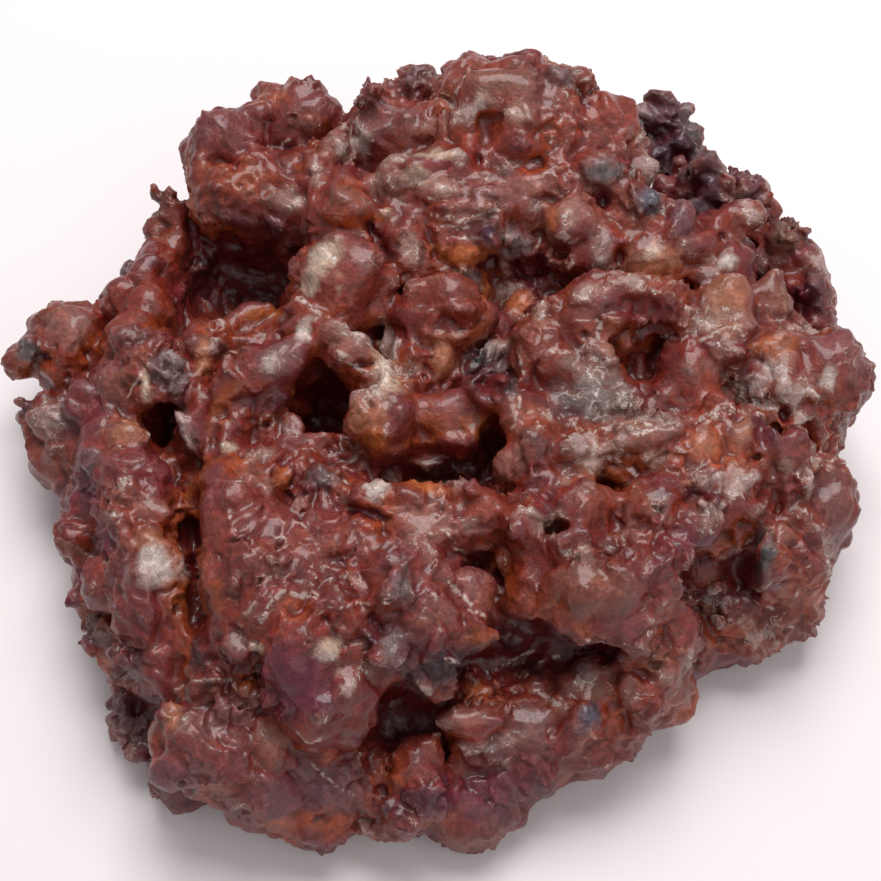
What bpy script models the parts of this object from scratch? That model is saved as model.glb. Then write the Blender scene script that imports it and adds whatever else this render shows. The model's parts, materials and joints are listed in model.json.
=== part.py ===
"""A glazed blueberry fritter: one craggy, roughly round piece of fried dough.

It is a low core with lumps of dough fried onto it and hollows between them, cut flat where it lies.
Places and sizes in the tables are millimetres: +X is to the right, +Y away from the front, +Z up.
The scene is in metres.
"""

import random

import bmesh
import bpy
from mathutils import Matrix, Vector, noise

MM = 0.001
DEGREE = 0.0174533

# The finished size, in mm.
WIDTH = 144.5
DEPTH = 133.5
HEIGHT = 44.5

# How the dough is made, in mm.
GRAIN = 1.1
FINE_GRAIN = 0.9
FLAT_CUT = 1.4
LUMPINESS = 0.14
LUMP_GRAIN = 1.8
KNOBS = 2
KNOB_SIZE = (1.5, 3.0)
KNOB_DEPTH = 0.88
KNOB_SEED = 7
CRAGS = ((8.0, 2.2), (4.0, 1.3))
CRAG_SINK = 0.16
SMOOTHING = 3
TRIANGLES = 12400

CRUST_COLOUR = (0.17, 0.052, 0.038, 1.0)
CRUST_ROUGHNESS = 0.38

# Each lump or hollow is: x, y, z of its centre, half its width, depth and height, and its turn about Z in degrees.
CORE = {
    "core": (-2, -2, 12, 56, 48, 15, 0),
    "core back": (8, 42, 12, 42, 24, 15, 0),
    "core east": (44, 6, 12, 22, 34, 14, 0),
    "core west": (-34, 26, 7, 26, 28, 10, 0),
    "core south": (-8, -38, 7, 42, 19, 8, 0),
}
CROWN = {
    "dome": (12.5, 57.5, 29, 17, 14, 14, 0),
    "east shoulder": (26.5, 51, 25.5, 10.5, 10.5, 12, 0),
    "west shoulder": (-8, 56, 26, 13, 9, 12, 0),
    "front terrace": (3, 42, 31, 18, 9, 8, 0),
    "front terrace east": (22, 45, 30, 10, 7, 8, 0),
    "terrace fold": (-2, 44, 37, 9.2, 3.6, 3, 5),
    "terrace fold low": (4, 38, 36, 9.2, 3, 3, -5),
    "dome crest": (9, 61, 38.4, 7, 5, 3.5, 0),
    "dome crest east": (20, 58, 38, 5.2, 6, 3.5, 0),
    "shoulder knob": (25.5, 55, 34, 4.6, 4.8, 4, 0),
    "shoulder knob west": (-12, 57, 33, 4.6, 4.8, 3.5, 0),
    "back crag west": (-12, 63, 23, 4, 4, 4, 0),
    "back crag middle": (-8, 65, 26, 5, 4, 5, 0),
    "back crag": (-3, 66, 28, 5, 4, 4, 0),
    "back crag east": (27, 64, 25, 5, 4, 4, 0),
}
NORTH_WEST = {
    "knob": (-38, 56, 24, 9.5, 8.5, 10, 0),
    "knob east": (-27, 63, 27.2, 7.5, 7, 8, 0),
    "knob front": (-33, 46, 25, 12, 8, 10, -8),
    "knob foot": (-37, 53, 12, 11, 9, 10, 0),
    "knob neck": (-22, 47, 26, 8, 9, 10, 0),
    "knob crest": (-39, 57, 29, 5.2, 4.8, 4, 0),
    "knob crest east": (-27, 63.5, 31, 5.2, 4.8, 4, 0),
    "knob ledge": (-33, 48, 30, 5.8, 4.2, 4, 10),
    "knob point": (-33.5, 60.5, 31, 3.5, 3.5, 3, 0),
    "rim tooth": (-49, 44, 17, 4.2, 4.5, 5, 0),
    "rim tooth point": (-49.3, 47.3, 19, 3.5, 3.6, 4, 0),
    "rim upper": (-51, 36, 17, 5.5, 6, 8, 0),
    "rim gap": (-45, 43, 11, 5.5, 6.5, 8, 0),
    "rim middle": (-53, 28, 18, 7, 7, 9, 0),
    "rim lower": (-53, 18, 19, 7, 8, 9, 0),
}
WEST = {
    "north lobe": (-65.5, 22.5, 16.5, 7.5, 7, 7.5, 0),
    "north lobe tip": (-72.3, 19, 16, 4, 2.1, 2.1, -25),
    "north lobe foot": (-64, 14, 12, 6.5, 6, 7, 0),
    "south lobe": (-63.5, 4, 14, 8, 8, 8, -20),
    "south lobe corner": (-70.5, 8.5, 16, 4, 2.5, 2.5, -30),
    "inner": (-56, 7, 19, 7, 9, 9, 0),
    "flank upper": (-57.5, -8, 11, 7, 9, 8, 15),
    "flank middle": (-52.5, -20, 12, 9, 10, 9, 15),
    "flank lower": (-48.5, -30, 11, 9, 9, 8, 25),
    "flank foot": (-45, -38, 9, 8, 7, 7, 30),
    "low crag": (-49, -43, 6, 5.5, 3.5, 4, -10),
    "ridge top": (-49, 11, 24, 6, 8, 9, 0),
    "ridge upper": (-55, -3, 20, 7, 9, 10, 0),
    "ridge middle": (-50, -14, 23, 7, 9, 10, 15),
    "ridge lower": (-46.5, -27, 23, 7, 9, 10, 10),
    "ridge foot": (-45, -35, 18, 6, 8, 9, 0),
    "ridge knuckle": (-52, -9, 27, 4, 6, 3.5, 20),
    "ridge knuckle lower": (-47, -22, 29, 4, 5.4, 3.5, 0),
    "flank knuckle": (-60, -14, 18, 4, 5, 4, 20),
    "flank crag": (-58, -22, 15, 3.5, 3.5, 3.5, 0),
}
SOUTH_WEST = {
    "slab": (-34, -50, 17, 11.5, 8, 10, -6),
    "slab foot": (-28, -53, 12, 9, 8, 11, 0),
    "low lobe": (-40.5, -50, 6, 7, 6, 6, 20),
    "behind slab": (-34, -41, 20, 7, 6, 9, 0),
}
SOUTH = {
    "bulb": (-18.5, -44, 24, 9.5, 7.5, 11, 0),
    "bulb foot": (-16, -52, 10, 8, 7, 9, 0),
    "skirt west": (-21, -55.5, 7, 9, 7, 7, 0),
    "skirt middle": (-9, -54.5, 7, 9, 7, 7, 0),
    "skirt east": (4, -55.5, 7, 8.5, 7.5, 7, 0),
    "small knob": (-3.4, -56.4, 15, 5.5, 4.5, 5, 15),
    "crisp knob": (6, -48, 16, 5.5, 4.5, 5, 0),
    "crisp knob root": (3, -49.5, 9, 7, 4.5, 5, 15),
    "ball": (14.5, -49, 12, 7, 6.5, 7.5, 0),
    "shelf": (24, -44, 12, 10, 7.5, 8, 20),
    "shelf east": (34.5, -37, 13, 6.5, 8, 9, 0),
    "shelf back": (33, -35, 18, 7, 7, 9, 0),
    "shelf knob": (21, -46, 18, 4.5, 4, 4, 0),
    "shelf knob east": (32, -43, 19, 4, 3.5, 4.5, 30),
    "crisp knob crest": (9, -45, 19, 3.5, 2.5, 3, 0),
}
EAST = {
    "skirt": (41, -28, 8, 9, 6.5, 7, 15),
    "skirt middle": (50, -25.5, 9, 10, 7, 7, 15),
    "skirt end": (57, -21, 11, 6.8, 7.5, 8, 30),
    "side": (62, -8.5, 15, 7.4, 9.5, 11, 0),
    "side inner": (56, -17, 18, 9, 9, 10, 0),
    "side upper": (54, -6, 24, 9, 8, 11, 0),
    "under lobe": (60, 0, 18, 6.4, 8, 9, 0),
    "lobe": (66, 12.5, 21.5, 7.6, 8.5, 9, 0),
    "lobe root": (58, 9, 25, 10.5, 9, 10, 0),
    "lobe back": (55, 20, 22, 8, 9, 10, 0),
    "rim": (65, 29, 16, 5.5, 8, 9, 0),
    "rim north": (62.5, 39.5, 17, 5.5, 6, 8, 0),
}
NORTH_EAST = {
    "rim crag low": (56, 50.5, 17, 6, 6, 8, 0),
    "rim crag": (47.5, 60, 15, 5, 7, 7, 20),
    "spiked crag": (43.5, 65.5, 16, 5, 5.5, 6, 0),
    "spiked crag point": (42, 69, 18, 3.4, 3, 4, 30),
    "inner rim": (46, 47, 18, 7, 9, 9, 0),
    "rim foot": (48, 48, 9, 12, 14, 9, -30),
    "bright lobe": (24, 36.5, 30, 7, 8, 8, -15),
    "dark crag": (28, 43, 33, 4.5, 3.5, 4, 0),
    "mid slope": (36, 33.5, 28, 10, 8, 9, 0),
    "outer slope": (47, 33, 22, 9, 9, 10, 0),
    "pale band": (30.5, 19, 30, 14, 6, 8, 0),
    "arch": (47, 16.5, 28, 7, 9, 8, 0),
    "small dome": (26.5, 12, 29, 6.5, 6, 7, 0),
    "red dome": (40.5, 6, 24, 8.5, 7.5, 8, 0),
    "band knob": (24, 21, 35, 4, 3.6, 3, 0),
    "band knob east": (36, 20, 35, 4.6, 3.6, 3, 15),
    "slope knob": (37, 38, 34, 4, 4.2, 3, 0),
    "slope knob east": (49, 38, 30, 4, 4, 4, 0),
    "inner rim knob": (47, 50, 27, 3.5, 4, 3.5, 0),
}
TOP_EAST = {
    "basin": (25, 4, 24, 15, 10, 9, 0),
    "basin lip": (30, -6, 29, 17, 4.5, 8, 8),
    "basin lip east": (43, -3.5, 28, 12, 5, 8, 10),
    "spine": (14.5, -6, 29, 5, 13, 9, 8),
    "spine head": (17.5, 14.5, 28, 7, 8, 8, 0),
    "south fold": (23.5, -29.5, 26, 14, 10, 12, 0),
    "fold west": (19, -19.5, 28, 10, 8, 11, 0),
    "fold east": (35.5, -20.5, 27, 9, 12, 11, 0),
    "flap": (44, -13.5, 27, 8, 8, 9, 0),
    "fold foot": (34, -31, 20, 7, 8, 9, 0),
    "burnt flake": (52.5, -24, 24, 2.4, 3.4, 7, -20),
    "fold crest": (16, -22, 35, 8, 4.2, 3.5, -25),
    "fold crest east": (33, -17, 35, 5.8, 4.8, 3.5, 30),
    "fold brow": (30, -28, 34, 6.9, 4.8, 4, 10),
    "fold chin": (20, -35.5, 27, 7, 5, 6, 0),
    "lip knuckle": (24, -7, 34, 5.8, 3.6, 3, 5),
    "lip knuckle east": (36, -6, 34, 5.2, 3.6, 3, 20),
}
TOP_MIDDLE = {
    "grey crag": (0, 19.5, 30, 9, 5.5, 6, 0),
    "orange slope": (-2, 14.5, 24, 9, 6, 7, 0),
    "crown foot": (5, 33.5, 28, 12, 6, 8, 0),
    "crown foot west": (-7.5, 34.5, 28, 7, 7, 8, 0),
    "lattice": (-9, 0.8, 29.5, 5.2, 8.5, 7, 0),
    "oval knob": (2.5, -1, 25, 9, 5.5, 6, 0),
    "black crag": (8, 4, 32, 4.5, 3.5, 4.5, -30),
    "south ridge": (-1, -17.5, 28, 17, 5.5, 9, -4),
    "south mass": (-7, -29.5, 28, 12, 9, 11, 0),
    "south brow": (-2.5, -37.5, 26, 11, 7, 10, 0),
    "brow crag": (2, -35.5, 32.5, 4.5, 3.5, 3, 30),
    "brow crag west": (-8, -33, 36, 4.6, 3.6, 3, -20),
    "ridge crag": (-10, -17, 34, 4, 3.6, 3, 15),
    "ridge crag east": (4, -19, 33, 4.6, 3.6, 3, 0),
}
TOP_WEST = {
    "droplet": (-17.5, 25.5, 30, 9, 8.5, 9, 0),
    "droplet neck": (-17.5, 39.5, 30, 7, 9, 8, 0),
    "web": (-17.5, 13, 31, 11, 3.5, 5, -35),
    "mound": (-29.5, 8, 26, 11, 6, 8, 30),
    "mound foot": (-37, 2.5, 22, 7, 8, 8, 0),
    "cave sill": (-24.5, -6, 22, 8, 6, 8, 0),
    "cave lip": (-17, -13.5, 26, 7, 5, 8, 0),
    "west slope": (-33, -11.5, 25, 9, 7, 9, 0),
    "west mass": (-30.5, -22, 28, 10, 8, 10, 0),
    "west brow": (-26.5, -30.5, 28, 13, 10, 11, 0),
    "west mass east": (-17, -23.5, 28, 9, 8, 10, 0),
    "west brow east": (-17, -35.5, 28, 11, 8, 10, 0),
    "trench side": (-35, -34, 22, 7, 8, 10, 0),
    "mass crag": (-33, -17, 34, 4.6, 4.8, 3.5, 0),
    "mass crag south": (-30, -27, 35, 5.2, 4.2, 3.5, 20),
    "bulb crest": (-21, -38, 34, 5.8, 4.2, 3, 0),
    "mound crest": (-31, 9, 31, 5.2, 3.6, 2.5, 30),
    "hollow sill": (-33, 24.5, 17, 6, 4, 6, 0),
    "hollow sill west": (-40, 18, 20, 5, 6, 7, 0),
}
HOLLOWS = {
    "north west": (-36, 34, 21, 11, 8.5, 12, 10),
    "west pit": (-47.5, 4, 22, 3, 4.4, 8, 0),
    "cave": (-20, 5, 24, 6.5, 7, 12, 0),
    "centre": (-1, -9, 26, 10, 4.5, 11, 0),
    "centre east": (8.5, -3.5, 28, 3, 5, 8, -15),
    "purple": (12, 29, 33, 7, 4.5, 9, 0),
    "crown slot": (7.5, 48, 43, 3, 8, 5, -10),
    "red basin": (35, 12, 33, 8, 4.5, 9, 0),
    "amber": (42, -26, 28, 8.5, 6, 10, 8),
    "under flap": (42, -21.5, 31, 5, 3, 6, 0),
    "front crease": (11, -37.5, 24.5, 19, 6.5, 8, 8),
    "front crease west": (-7, -45.5, 21, 8, 4.5, 8, 10),
    "trench": (-39.5, -25, 32, 2.8, 16, 9, 4),
    "north east slot": (49.5, 44, 22, 2, 6, 8, 0),
    "fold pit": (17.5, -22, 39, 3, 2.6, 6, 0),
    "brow pit": (8, -26, 34, 4, 4, 9, 0),
    "lobe pit": (60, -2, 28, 2.5, 3.5, 8, 0),
    "lobe pit west": (53.5, -3, 34, 3, 3, 7, 0),
    "rim slot": (60.5, 26, 24, 2, 6, 8, 0),
}


class Dough:
    """Lumps of dough that one skin is drawn round later on."""

    def __init__(self):
        bm = bmesh.new()
        bmesh.ops.create_icosphere(bm, subdivisions=3, radius=1.0)
        self.ball_points = [vertex.co.copy() for vertex in bm.verts]
        self.ball_faces = [[vertex.index for vertex in face.verts] for face in bm.faces]
        bm.free()
        self.points = []
        self.faces = []

    def add_lump(self, x, y, z, across, deep, tall, turn):
        """An ellipsoid with an uneven skin, which differs with its place."""
        place = Vector((x, y, z))
        matrix = (
            Matrix.Translation(place)
            @ Matrix.Rotation(turn * DEGREE, 4, "Z")
            @ Matrix.Diagonal((across, deep, tall, 1.0))
        )
        first = len(self.points)
        for point in self.ball_points:
            bump = noise.noise(point * LUMP_GRAIN + place)
            self.points.append(matrix @ (point * (1.0 + LUMPINESS * bump)))
        self.faces.extend([first + corner for corner in face] for face in self.ball_faces)

    def add_knobs(self, draw, x, y, z, across, deep, tall, turn):
        """Small knobs here and there on the upper skin of a lump."""
        place = Vector((x, y, z))
        spin = Matrix.Rotation(turn * DEGREE, 4, "Z")
        for _ in range(KNOBS):
            way = Vector((draw.gauss(0, 1), draw.gauss(0, 1), abs(draw.gauss(0, 1)))).normalized()
            spot = place + spin @ Vector((way.x * across, way.y * deep, way.z * tall)) * KNOB_DEPTH
            size = draw.uniform(*KNOB_SIZE)
            shape = [size * draw.uniform(0.8, 1.2) for _ in range(3)]
            self.add_lump(*spot, *shape, 0)

    def skin(self, name, grain):
        """One closed mesh round all the lumps."""
        mesh = bpy.data.meshes.new(name)
        mesh.from_pydata(self.points, [], self.faces)
        obj = bpy.data.objects.new(name, mesh)
        bpy.context.scene.collection.objects.link(obj)
        draw_skin(obj, grain)
        return obj


def draw_skin(obj, grain):
    """Draws a new skin, of faces this wide, round all that the object holds."""
    remesh = obj.modifiers.new("skin", "REMESH")
    remesh.mode = "VOXEL"
    remesh.voxel_size = grain
    apply_modifiers(obj)


def apply_modifiers(obj):
    graph = bpy.context.evaluated_depsgraph_get()
    made = bpy.data.meshes.new_from_object(obj.evaluated_get(graph))
    obj.modifiers.clear()
    old, obj.data = obj.data, made
    bpy.data.meshes.remove(old)


def roughen(mesh):
    """Crags of two sizes: rounded swellings with sharp creases between them."""
    moves = []
    for vertex in mesh.vertices:
        amount = sum(high * (abs(noise.noise(vertex.co / wide)) - CRAG_SINK) for wide, high in CRAGS)
        moves.append(vertex.normal * amount)
    for vertex, move in zip(mesh.vertices, moves):
        vertex.co += move


def thin_out(obj):
    """Fewer triangles where the skin is flattest."""
    count = sum(len(face.vertices) - 2 for face in obj.data.polygons)
    decimate = obj.modifiers.new("thin out", "DECIMATE")
    decimate.ratio = TRIANGLES / count
    apply_modifiers(obj)


def cut_flat(mesh, height):
    """Cuts off what is under this height and closes the cut with one flat face."""
    bm = bmesh.new()
    bm.from_mesh(mesh)
    everything = bm.verts[:] + bm.edges[:] + bm.faces[:]
    cut = bmesh.ops.bisect_plane(
        bm,
        geom=everything,
        dist=1e-5,
        plane_co=(0, 0, height),
        plane_no=(0, 0, 1),
        clear_inner=True,
    )
    rim = [item for item in cut["geom_cut"] if isinstance(item, bmesh.types.BMEdge)]
    bmesh.ops.triangle_fill(bm, edges=rim, use_beauty=True)
    bmesh.ops.recalc_face_normals(bm, faces=bm.faces[:])
    bmesh.ops.triangulate(bm, faces=bm.faces[:])
    bm.to_mesh(mesh)
    bm.free()


def fit(mesh):
    """Scales the dough to its finished size, in metres, and centres it over the origin on its flat base."""
    corners = [[f(v.co[axis] for v in mesh.vertices) for f in (min, max)] for axis in range(3)]
    middle = Vector([(low + high) / 2 for low, high in corners[:2]] + [corners[2][0]])
    scale = [size * MM / (high - low) for size, (low, high) in zip((WIDTH, DEPTH, HEIGHT), corners)]
    mesh.transform(Matrix.Diagonal((*scale, 1.0)) @ Matrix.Translation(-middle))


def crust_material():
    material = bpy.data.materials.new("glazed crust")
    material.use_nodes = True
    shader = material.node_tree.nodes["Principled BSDF"]
    shader.inputs["Base Color"].default_value = CRUST_COLOUR
    shader.inputs["Roughness"].default_value = CRUST_ROUGHNESS
    shader.inputs["Metallic"].default_value = 0.0
    return material


def main():
    for obj in list(bpy.data.objects):
        bpy.data.objects.remove(obj)
    tables = (
        CORE, CROWN, NORTH_WEST, WEST, SOUTH_WEST, SOUTH, EAST, NORTH_EAST, TOP_EAST, TOP_MIDDLE, TOP_WEST,
    )
    dough = Dough()
    draw = random.Random(KNOB_SEED)
    for table in tables:
        for lump in table.values():
            dough.add_lump(*lump)
            if table is not CORE:
                dough.add_knobs(draw, *lump)
    fritter = dough.skin("fritter", GRAIN)
    hollow = Dough()
    for lump in HOLLOWS.values():
        hollow.add_lump(*lump)
    hollows = hollow.skin("hollows", GRAIN)
    cut = fritter.modifiers.new("hollows", "BOOLEAN")
    cut.operation = "DIFFERENCE"
    cut.object = hollows
    smooth = fritter.modifiers.new("soften", "SMOOTH")
    smooth.iterations = SMOOTHING
    apply_modifiers(fritter)
    bpy.data.objects.remove(hollows)
    roughen(fritter.data)
    draw_skin(fritter, FINE_GRAIN)
    thin_out(fritter)
    cut_flat(fritter.data, FLAT_CUT)
    fit(fritter.data)
    fritter.data.materials.clear()
    fritter.data.materials.append(crust_material())
    fritter.data.shade_smooth()


main()
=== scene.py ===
"""The looks of a glazed blueberry fritter: crust, dried glaze, stains and painted shade, highlights and glow,
with floor, light and camera.
"""

import json
import math
import random

import bmesh
import bpy
import numpy as np
from mathutils import Matrix, Vector, noise
from mathutils.bvhtree import BVHTree

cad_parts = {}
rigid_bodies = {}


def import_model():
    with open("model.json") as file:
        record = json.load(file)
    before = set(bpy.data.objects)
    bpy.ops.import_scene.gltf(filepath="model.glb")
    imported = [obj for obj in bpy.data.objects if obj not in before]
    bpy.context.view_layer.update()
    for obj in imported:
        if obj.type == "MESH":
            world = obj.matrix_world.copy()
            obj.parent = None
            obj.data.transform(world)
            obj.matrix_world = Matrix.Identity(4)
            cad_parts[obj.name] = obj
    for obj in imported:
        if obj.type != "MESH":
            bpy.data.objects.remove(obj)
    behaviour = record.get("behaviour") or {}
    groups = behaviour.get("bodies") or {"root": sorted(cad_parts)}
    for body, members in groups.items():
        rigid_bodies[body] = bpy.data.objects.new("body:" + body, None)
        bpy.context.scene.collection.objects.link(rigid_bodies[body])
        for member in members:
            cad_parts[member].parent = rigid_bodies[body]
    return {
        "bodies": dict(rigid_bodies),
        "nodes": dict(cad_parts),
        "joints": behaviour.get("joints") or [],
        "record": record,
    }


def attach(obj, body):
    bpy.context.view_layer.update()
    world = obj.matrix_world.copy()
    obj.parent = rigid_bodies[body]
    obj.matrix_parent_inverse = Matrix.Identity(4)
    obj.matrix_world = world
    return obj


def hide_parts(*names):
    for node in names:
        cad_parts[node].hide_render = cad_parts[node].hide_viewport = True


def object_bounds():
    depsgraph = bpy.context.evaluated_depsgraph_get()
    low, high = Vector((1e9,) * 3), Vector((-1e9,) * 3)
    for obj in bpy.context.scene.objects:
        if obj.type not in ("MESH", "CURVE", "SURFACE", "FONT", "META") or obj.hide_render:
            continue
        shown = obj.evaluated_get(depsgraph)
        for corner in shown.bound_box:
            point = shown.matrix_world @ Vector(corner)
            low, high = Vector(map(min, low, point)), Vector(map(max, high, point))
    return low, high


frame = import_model()
cad_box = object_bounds()

MM = 0.001
DEGREE = 0.0174533

# The camera: its tilt, what it looks at and how far off it is, in metres, and its lens and sensor in mm.
TILT = math.radians(62)
TARGET = Vector((0, 0, 0.022))
AWAY = 0.270
LENS = 68
SENSOR = 36
# The side of the photo and the place in it of what the camera looks at, in pixels.
PHOTO_SIDE = 881
MIDDLE_X = 430
MIDDLE_Y = 418
# Directions as the photo shows them: to its right, up it and out of it.
ACROSS = np.array((1.0, 0.0, 0.0))
UPWARD = np.array((0.0, math.sin(TILT), math.cos(TILT)))
OUTWARD = np.array((0.0, -math.cos(TILT), math.sin(TILT)))

# How the dough is made, in mm, as in the solid.
GRAIN = 1.1
FLAT_CUT = 1.4
LUMPINESS = 0.14
LUMP_GRAIN = 1.8
KNOBS = 2
KNOB_SIZE = (1.5, 3.0)
KNOB_DEPTH = 0.88
KNOB_SEED = 7
CRAGS = ((8.0, 2.2), (4.0, 1.3))
CRAG_SINK = 0.16
SMOOTHING = 3

# Places and sizes in the tables are millimetres, before the dough is fitted to the size of the solid.
# Each lump or hollow is: x, y, z of its centre, half its width, depth and height, and its turn about Z in
# degrees.
CORE = {
    "core": (-2, -2, 12, 56, 48, 15, 0),
    "core back": (8, 42, 12, 42, 24, 15, 0),
    "core east": (44, 6, 12, 22, 34, 14, 0),
    "core west": (-34, 26, 7, 26, 28, 10, 0),
    "core south": (-8, -38, 7, 42, 19, 8, 0),
}
CROWN = {
    "dome": (12.5, 57.5, 29, 17, 14, 14, 0),
    "east shoulder": (26.5, 51, 25.5, 10.5, 10.5, 12, 0),
    "west shoulder": (-8, 56, 26, 13, 9, 12, 0),
    "front terrace": (3, 42, 31, 18, 9, 8, 0),
    "front terrace east": (22, 45, 30, 10, 7, 8, 0),
    "terrace fold": (-2, 44, 37, 9.2, 3.6, 3, 5),
    "terrace fold low": (4, 38, 36, 9.2, 3, 3, -5),
    "dome crest": (9, 61, 38.4, 7, 5, 3.5, 0),
    "dome crest east": (20, 58, 38, 5.2, 6, 3.5, 0),
    "shoulder knob": (25.5, 55, 34, 4.6, 4.8, 4, 0),
    "shoulder knob west": (-12, 57, 33, 4.6, 4.8, 3.5, 0),
    "back crag west": (-12, 63, 23, 4, 4, 4, 0),
    "back crag middle": (-8, 65, 26, 5, 4, 5, 0),
    "back crag": (-3, 66, 28, 5, 4, 4, 0),
    "back crag east": (27, 64, 25, 5, 4, 4, 0),
}
NORTH_WEST = {
    "knob": (-38, 56, 24, 9.5, 8.5, 10, 0),
    "knob east": (-27, 63, 27.2, 7.5, 7, 8, 0),
    "knob front": (-33, 46, 25, 12, 8, 10, -8),
    "knob foot": (-37, 53, 12, 11, 9, 10, 0),
    "knob neck": (-22, 47, 26, 8, 9, 10, 0),
    "knob crest": (-39, 57, 29, 5.2, 4.8, 4, 0),
    "knob crest east": (-27, 63.5, 31, 5.2, 4.8, 4, 0),
    "knob ledge": (-33, 48, 30, 5.8, 4.2, 4, 10),
    "knob point": (-33.5, 60.5, 31, 3.5, 3.5, 3, 0),
    "rim tooth": (-49, 44, 17, 4.2, 4.5, 5, 0),
    "rim tooth point": (-49.3, 47.3, 19, 3.5, 3.6, 4, 0),
    "rim upper": (-51, 36, 17, 5.5, 6, 8, 0),
    "rim gap": (-45, 43, 11, 5.5, 6.5, 8, 0),
    "rim middle": (-53, 28, 18, 7, 7, 9, 0),
    "rim lower": (-53, 18, 19, 7, 8, 9, 0),
}
WEST = {
    "north lobe": (-65.5, 22.5, 16.5, 7.5, 7, 7.5, 0),
    "north lobe tip": (-72.3, 19, 16, 4, 2.1, 2.1, -25),
    "north lobe foot": (-64, 14, 12, 6.5, 6, 7, 0),
    "south lobe": (-63.5, 4, 14, 8, 8, 8, -20),
    "south lobe corner": (-70.5, 8.5, 16, 4, 2.5, 2.5, -30),
    "inner": (-56, 7, 19, 7, 9, 9, 0),
    "flank upper": (-57.5, -8, 11, 7, 9, 8, 15),
    "flank middle": (-52.5, -20, 12, 9, 10, 9, 15),
    "flank lower": (-48.5, -30, 11, 9, 9, 8, 25),
    "flank foot": (-45, -38, 9, 8, 7, 7, 30),
    "low crag": (-49, -43, 6, 5.5, 3.5, 4, -10),
    "ridge top": (-49, 11, 24, 6, 8, 9, 0),
    "ridge upper": (-55, -3, 20, 7, 9, 10, 0),
    "ridge middle": (-50, -14, 23, 7, 9, 10, 15),
    "ridge lower": (-46.5, -27, 23, 7, 9, 10, 10),
    "ridge foot": (-45, -35, 18, 6, 8, 9, 0),
    "ridge knuckle": (-52, -9, 27, 4, 6, 3.5, 20),
    "ridge knuckle lower": (-47, -22, 29, 4, 5.4, 3.5, 0),
    "flank knuckle": (-60, -14, 18, 4, 5, 4, 20),
    "flank crag": (-58, -22, 15, 3.5, 3.5, 3.5, 0),
}
SOUTH_WEST = {
    "slab": (-34, -50, 17, 11.5, 8, 10, -6),
    "slab foot": (-28, -53, 12, 9, 8, 11, 0),
    "low lobe": (-40.5, -50, 6, 7, 6, 6, 20),
    "behind slab": (-34, -41, 20, 7, 6, 9, 0),
}
SOUTH = {
    "bulb": (-18.5, -44, 24, 9.5, 7.5, 11, 0),
    "bulb foot": (-16, -52, 10, 8, 7, 9, 0),
    "skirt west": (-21, -55.5, 7, 9, 7, 7, 0),
    "skirt middle": (-9, -54.5, 7, 9, 7, 7, 0),
    "skirt east": (4, -55.5, 7, 8.5, 7.5, 7, 0),
    "small knob": (-3.4, -56.4, 15, 5.5, 4.5, 5, 15),
    "crisp knob": (6, -48, 16, 5.5, 4.5, 5, 0),
    "crisp knob root": (3, -49.5, 9, 7, 4.5, 5, 15),
    "ball": (14.5, -49, 12, 7, 6.5, 7.5, 0),
    "shelf": (24, -44, 12, 10, 7.5, 8, 20),
    "shelf east": (34.5, -37, 13, 6.5, 8, 9, 0),
    "shelf back": (33, -35, 18, 7, 7, 9, 0),
    "shelf knob": (21, -46, 18, 4.5, 4, 4, 0),
    "shelf knob east": (32, -43, 19, 4, 3.5, 4.5, 30),
    "crisp knob crest": (9, -45, 19, 3.5, 2.5, 3, 0),
}
EAST = {
    "skirt": (41, -28, 8, 9, 6.5, 7, 15),
    "skirt middle": (50, -25.5, 9, 10, 7, 7, 15),
    "skirt end": (57, -21, 11, 6.8, 7.5, 8, 30),
    "side": (62, -8.5, 15, 7.4, 9.5, 11, 0),
    "side inner": (56, -17, 18, 9, 9, 10, 0),
    "side upper": (54, -6, 24, 9, 8, 11, 0),
    "under lobe": (60, 0, 18, 6.4, 8, 9, 0),
    "lobe": (66, 12.5, 21.5, 7.6, 8.5, 9, 0),
    "lobe root": (58, 9, 25, 10.5, 9, 10, 0),
    "lobe back": (55, 20, 22, 8, 9, 10, 0),
    "rim": (65, 29, 16, 5.5, 8, 9, 0),
    "rim north": (62.5, 39.5, 17, 5.5, 6, 8, 0),
}
NORTH_EAST = {
    "rim crag low": (56, 50.5, 17, 6, 6, 8, 0),
    "rim crag": (47.5, 60, 15, 5, 7, 7, 20),
    "spiked crag": (43.5, 65.5, 16, 5, 5.5, 6, 0),
    "spiked crag point": (42, 69, 18, 3.4, 3, 4, 30),
    "inner rim": (46, 47, 18, 7, 9, 9, 0),
    "rim foot": (48, 48, 9, 12, 14, 9, -30),
    "bright lobe": (24, 36.5, 30, 7, 8, 8, -15),
    "dark crag": (28, 43, 33, 4.5, 3.5, 4, 0),
    "mid slope": (36, 33.5, 28, 10, 8, 9, 0),
    "outer slope": (47, 33, 22, 9, 9, 10, 0),
    "pale band": (30.5, 19, 30, 14, 6, 8, 0),
    "arch": (47, 16.5, 28, 7, 9, 8, 0),
    "small dome": (26.5, 12, 29, 6.5, 6, 7, 0),
    "red dome": (40.5, 6, 24, 8.5, 7.5, 8, 0),
    "band knob": (24, 21, 35, 4, 3.6, 3, 0),
    "band knob east": (36, 20, 35, 4.6, 3.6, 3, 15),
    "slope knob": (37, 38, 34, 4, 4.2, 3, 0),
    "slope knob east": (49, 38, 30, 4, 4, 4, 0),
    "inner rim knob": (47, 50, 27, 3.5, 4, 3.5, 0),
}
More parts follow.
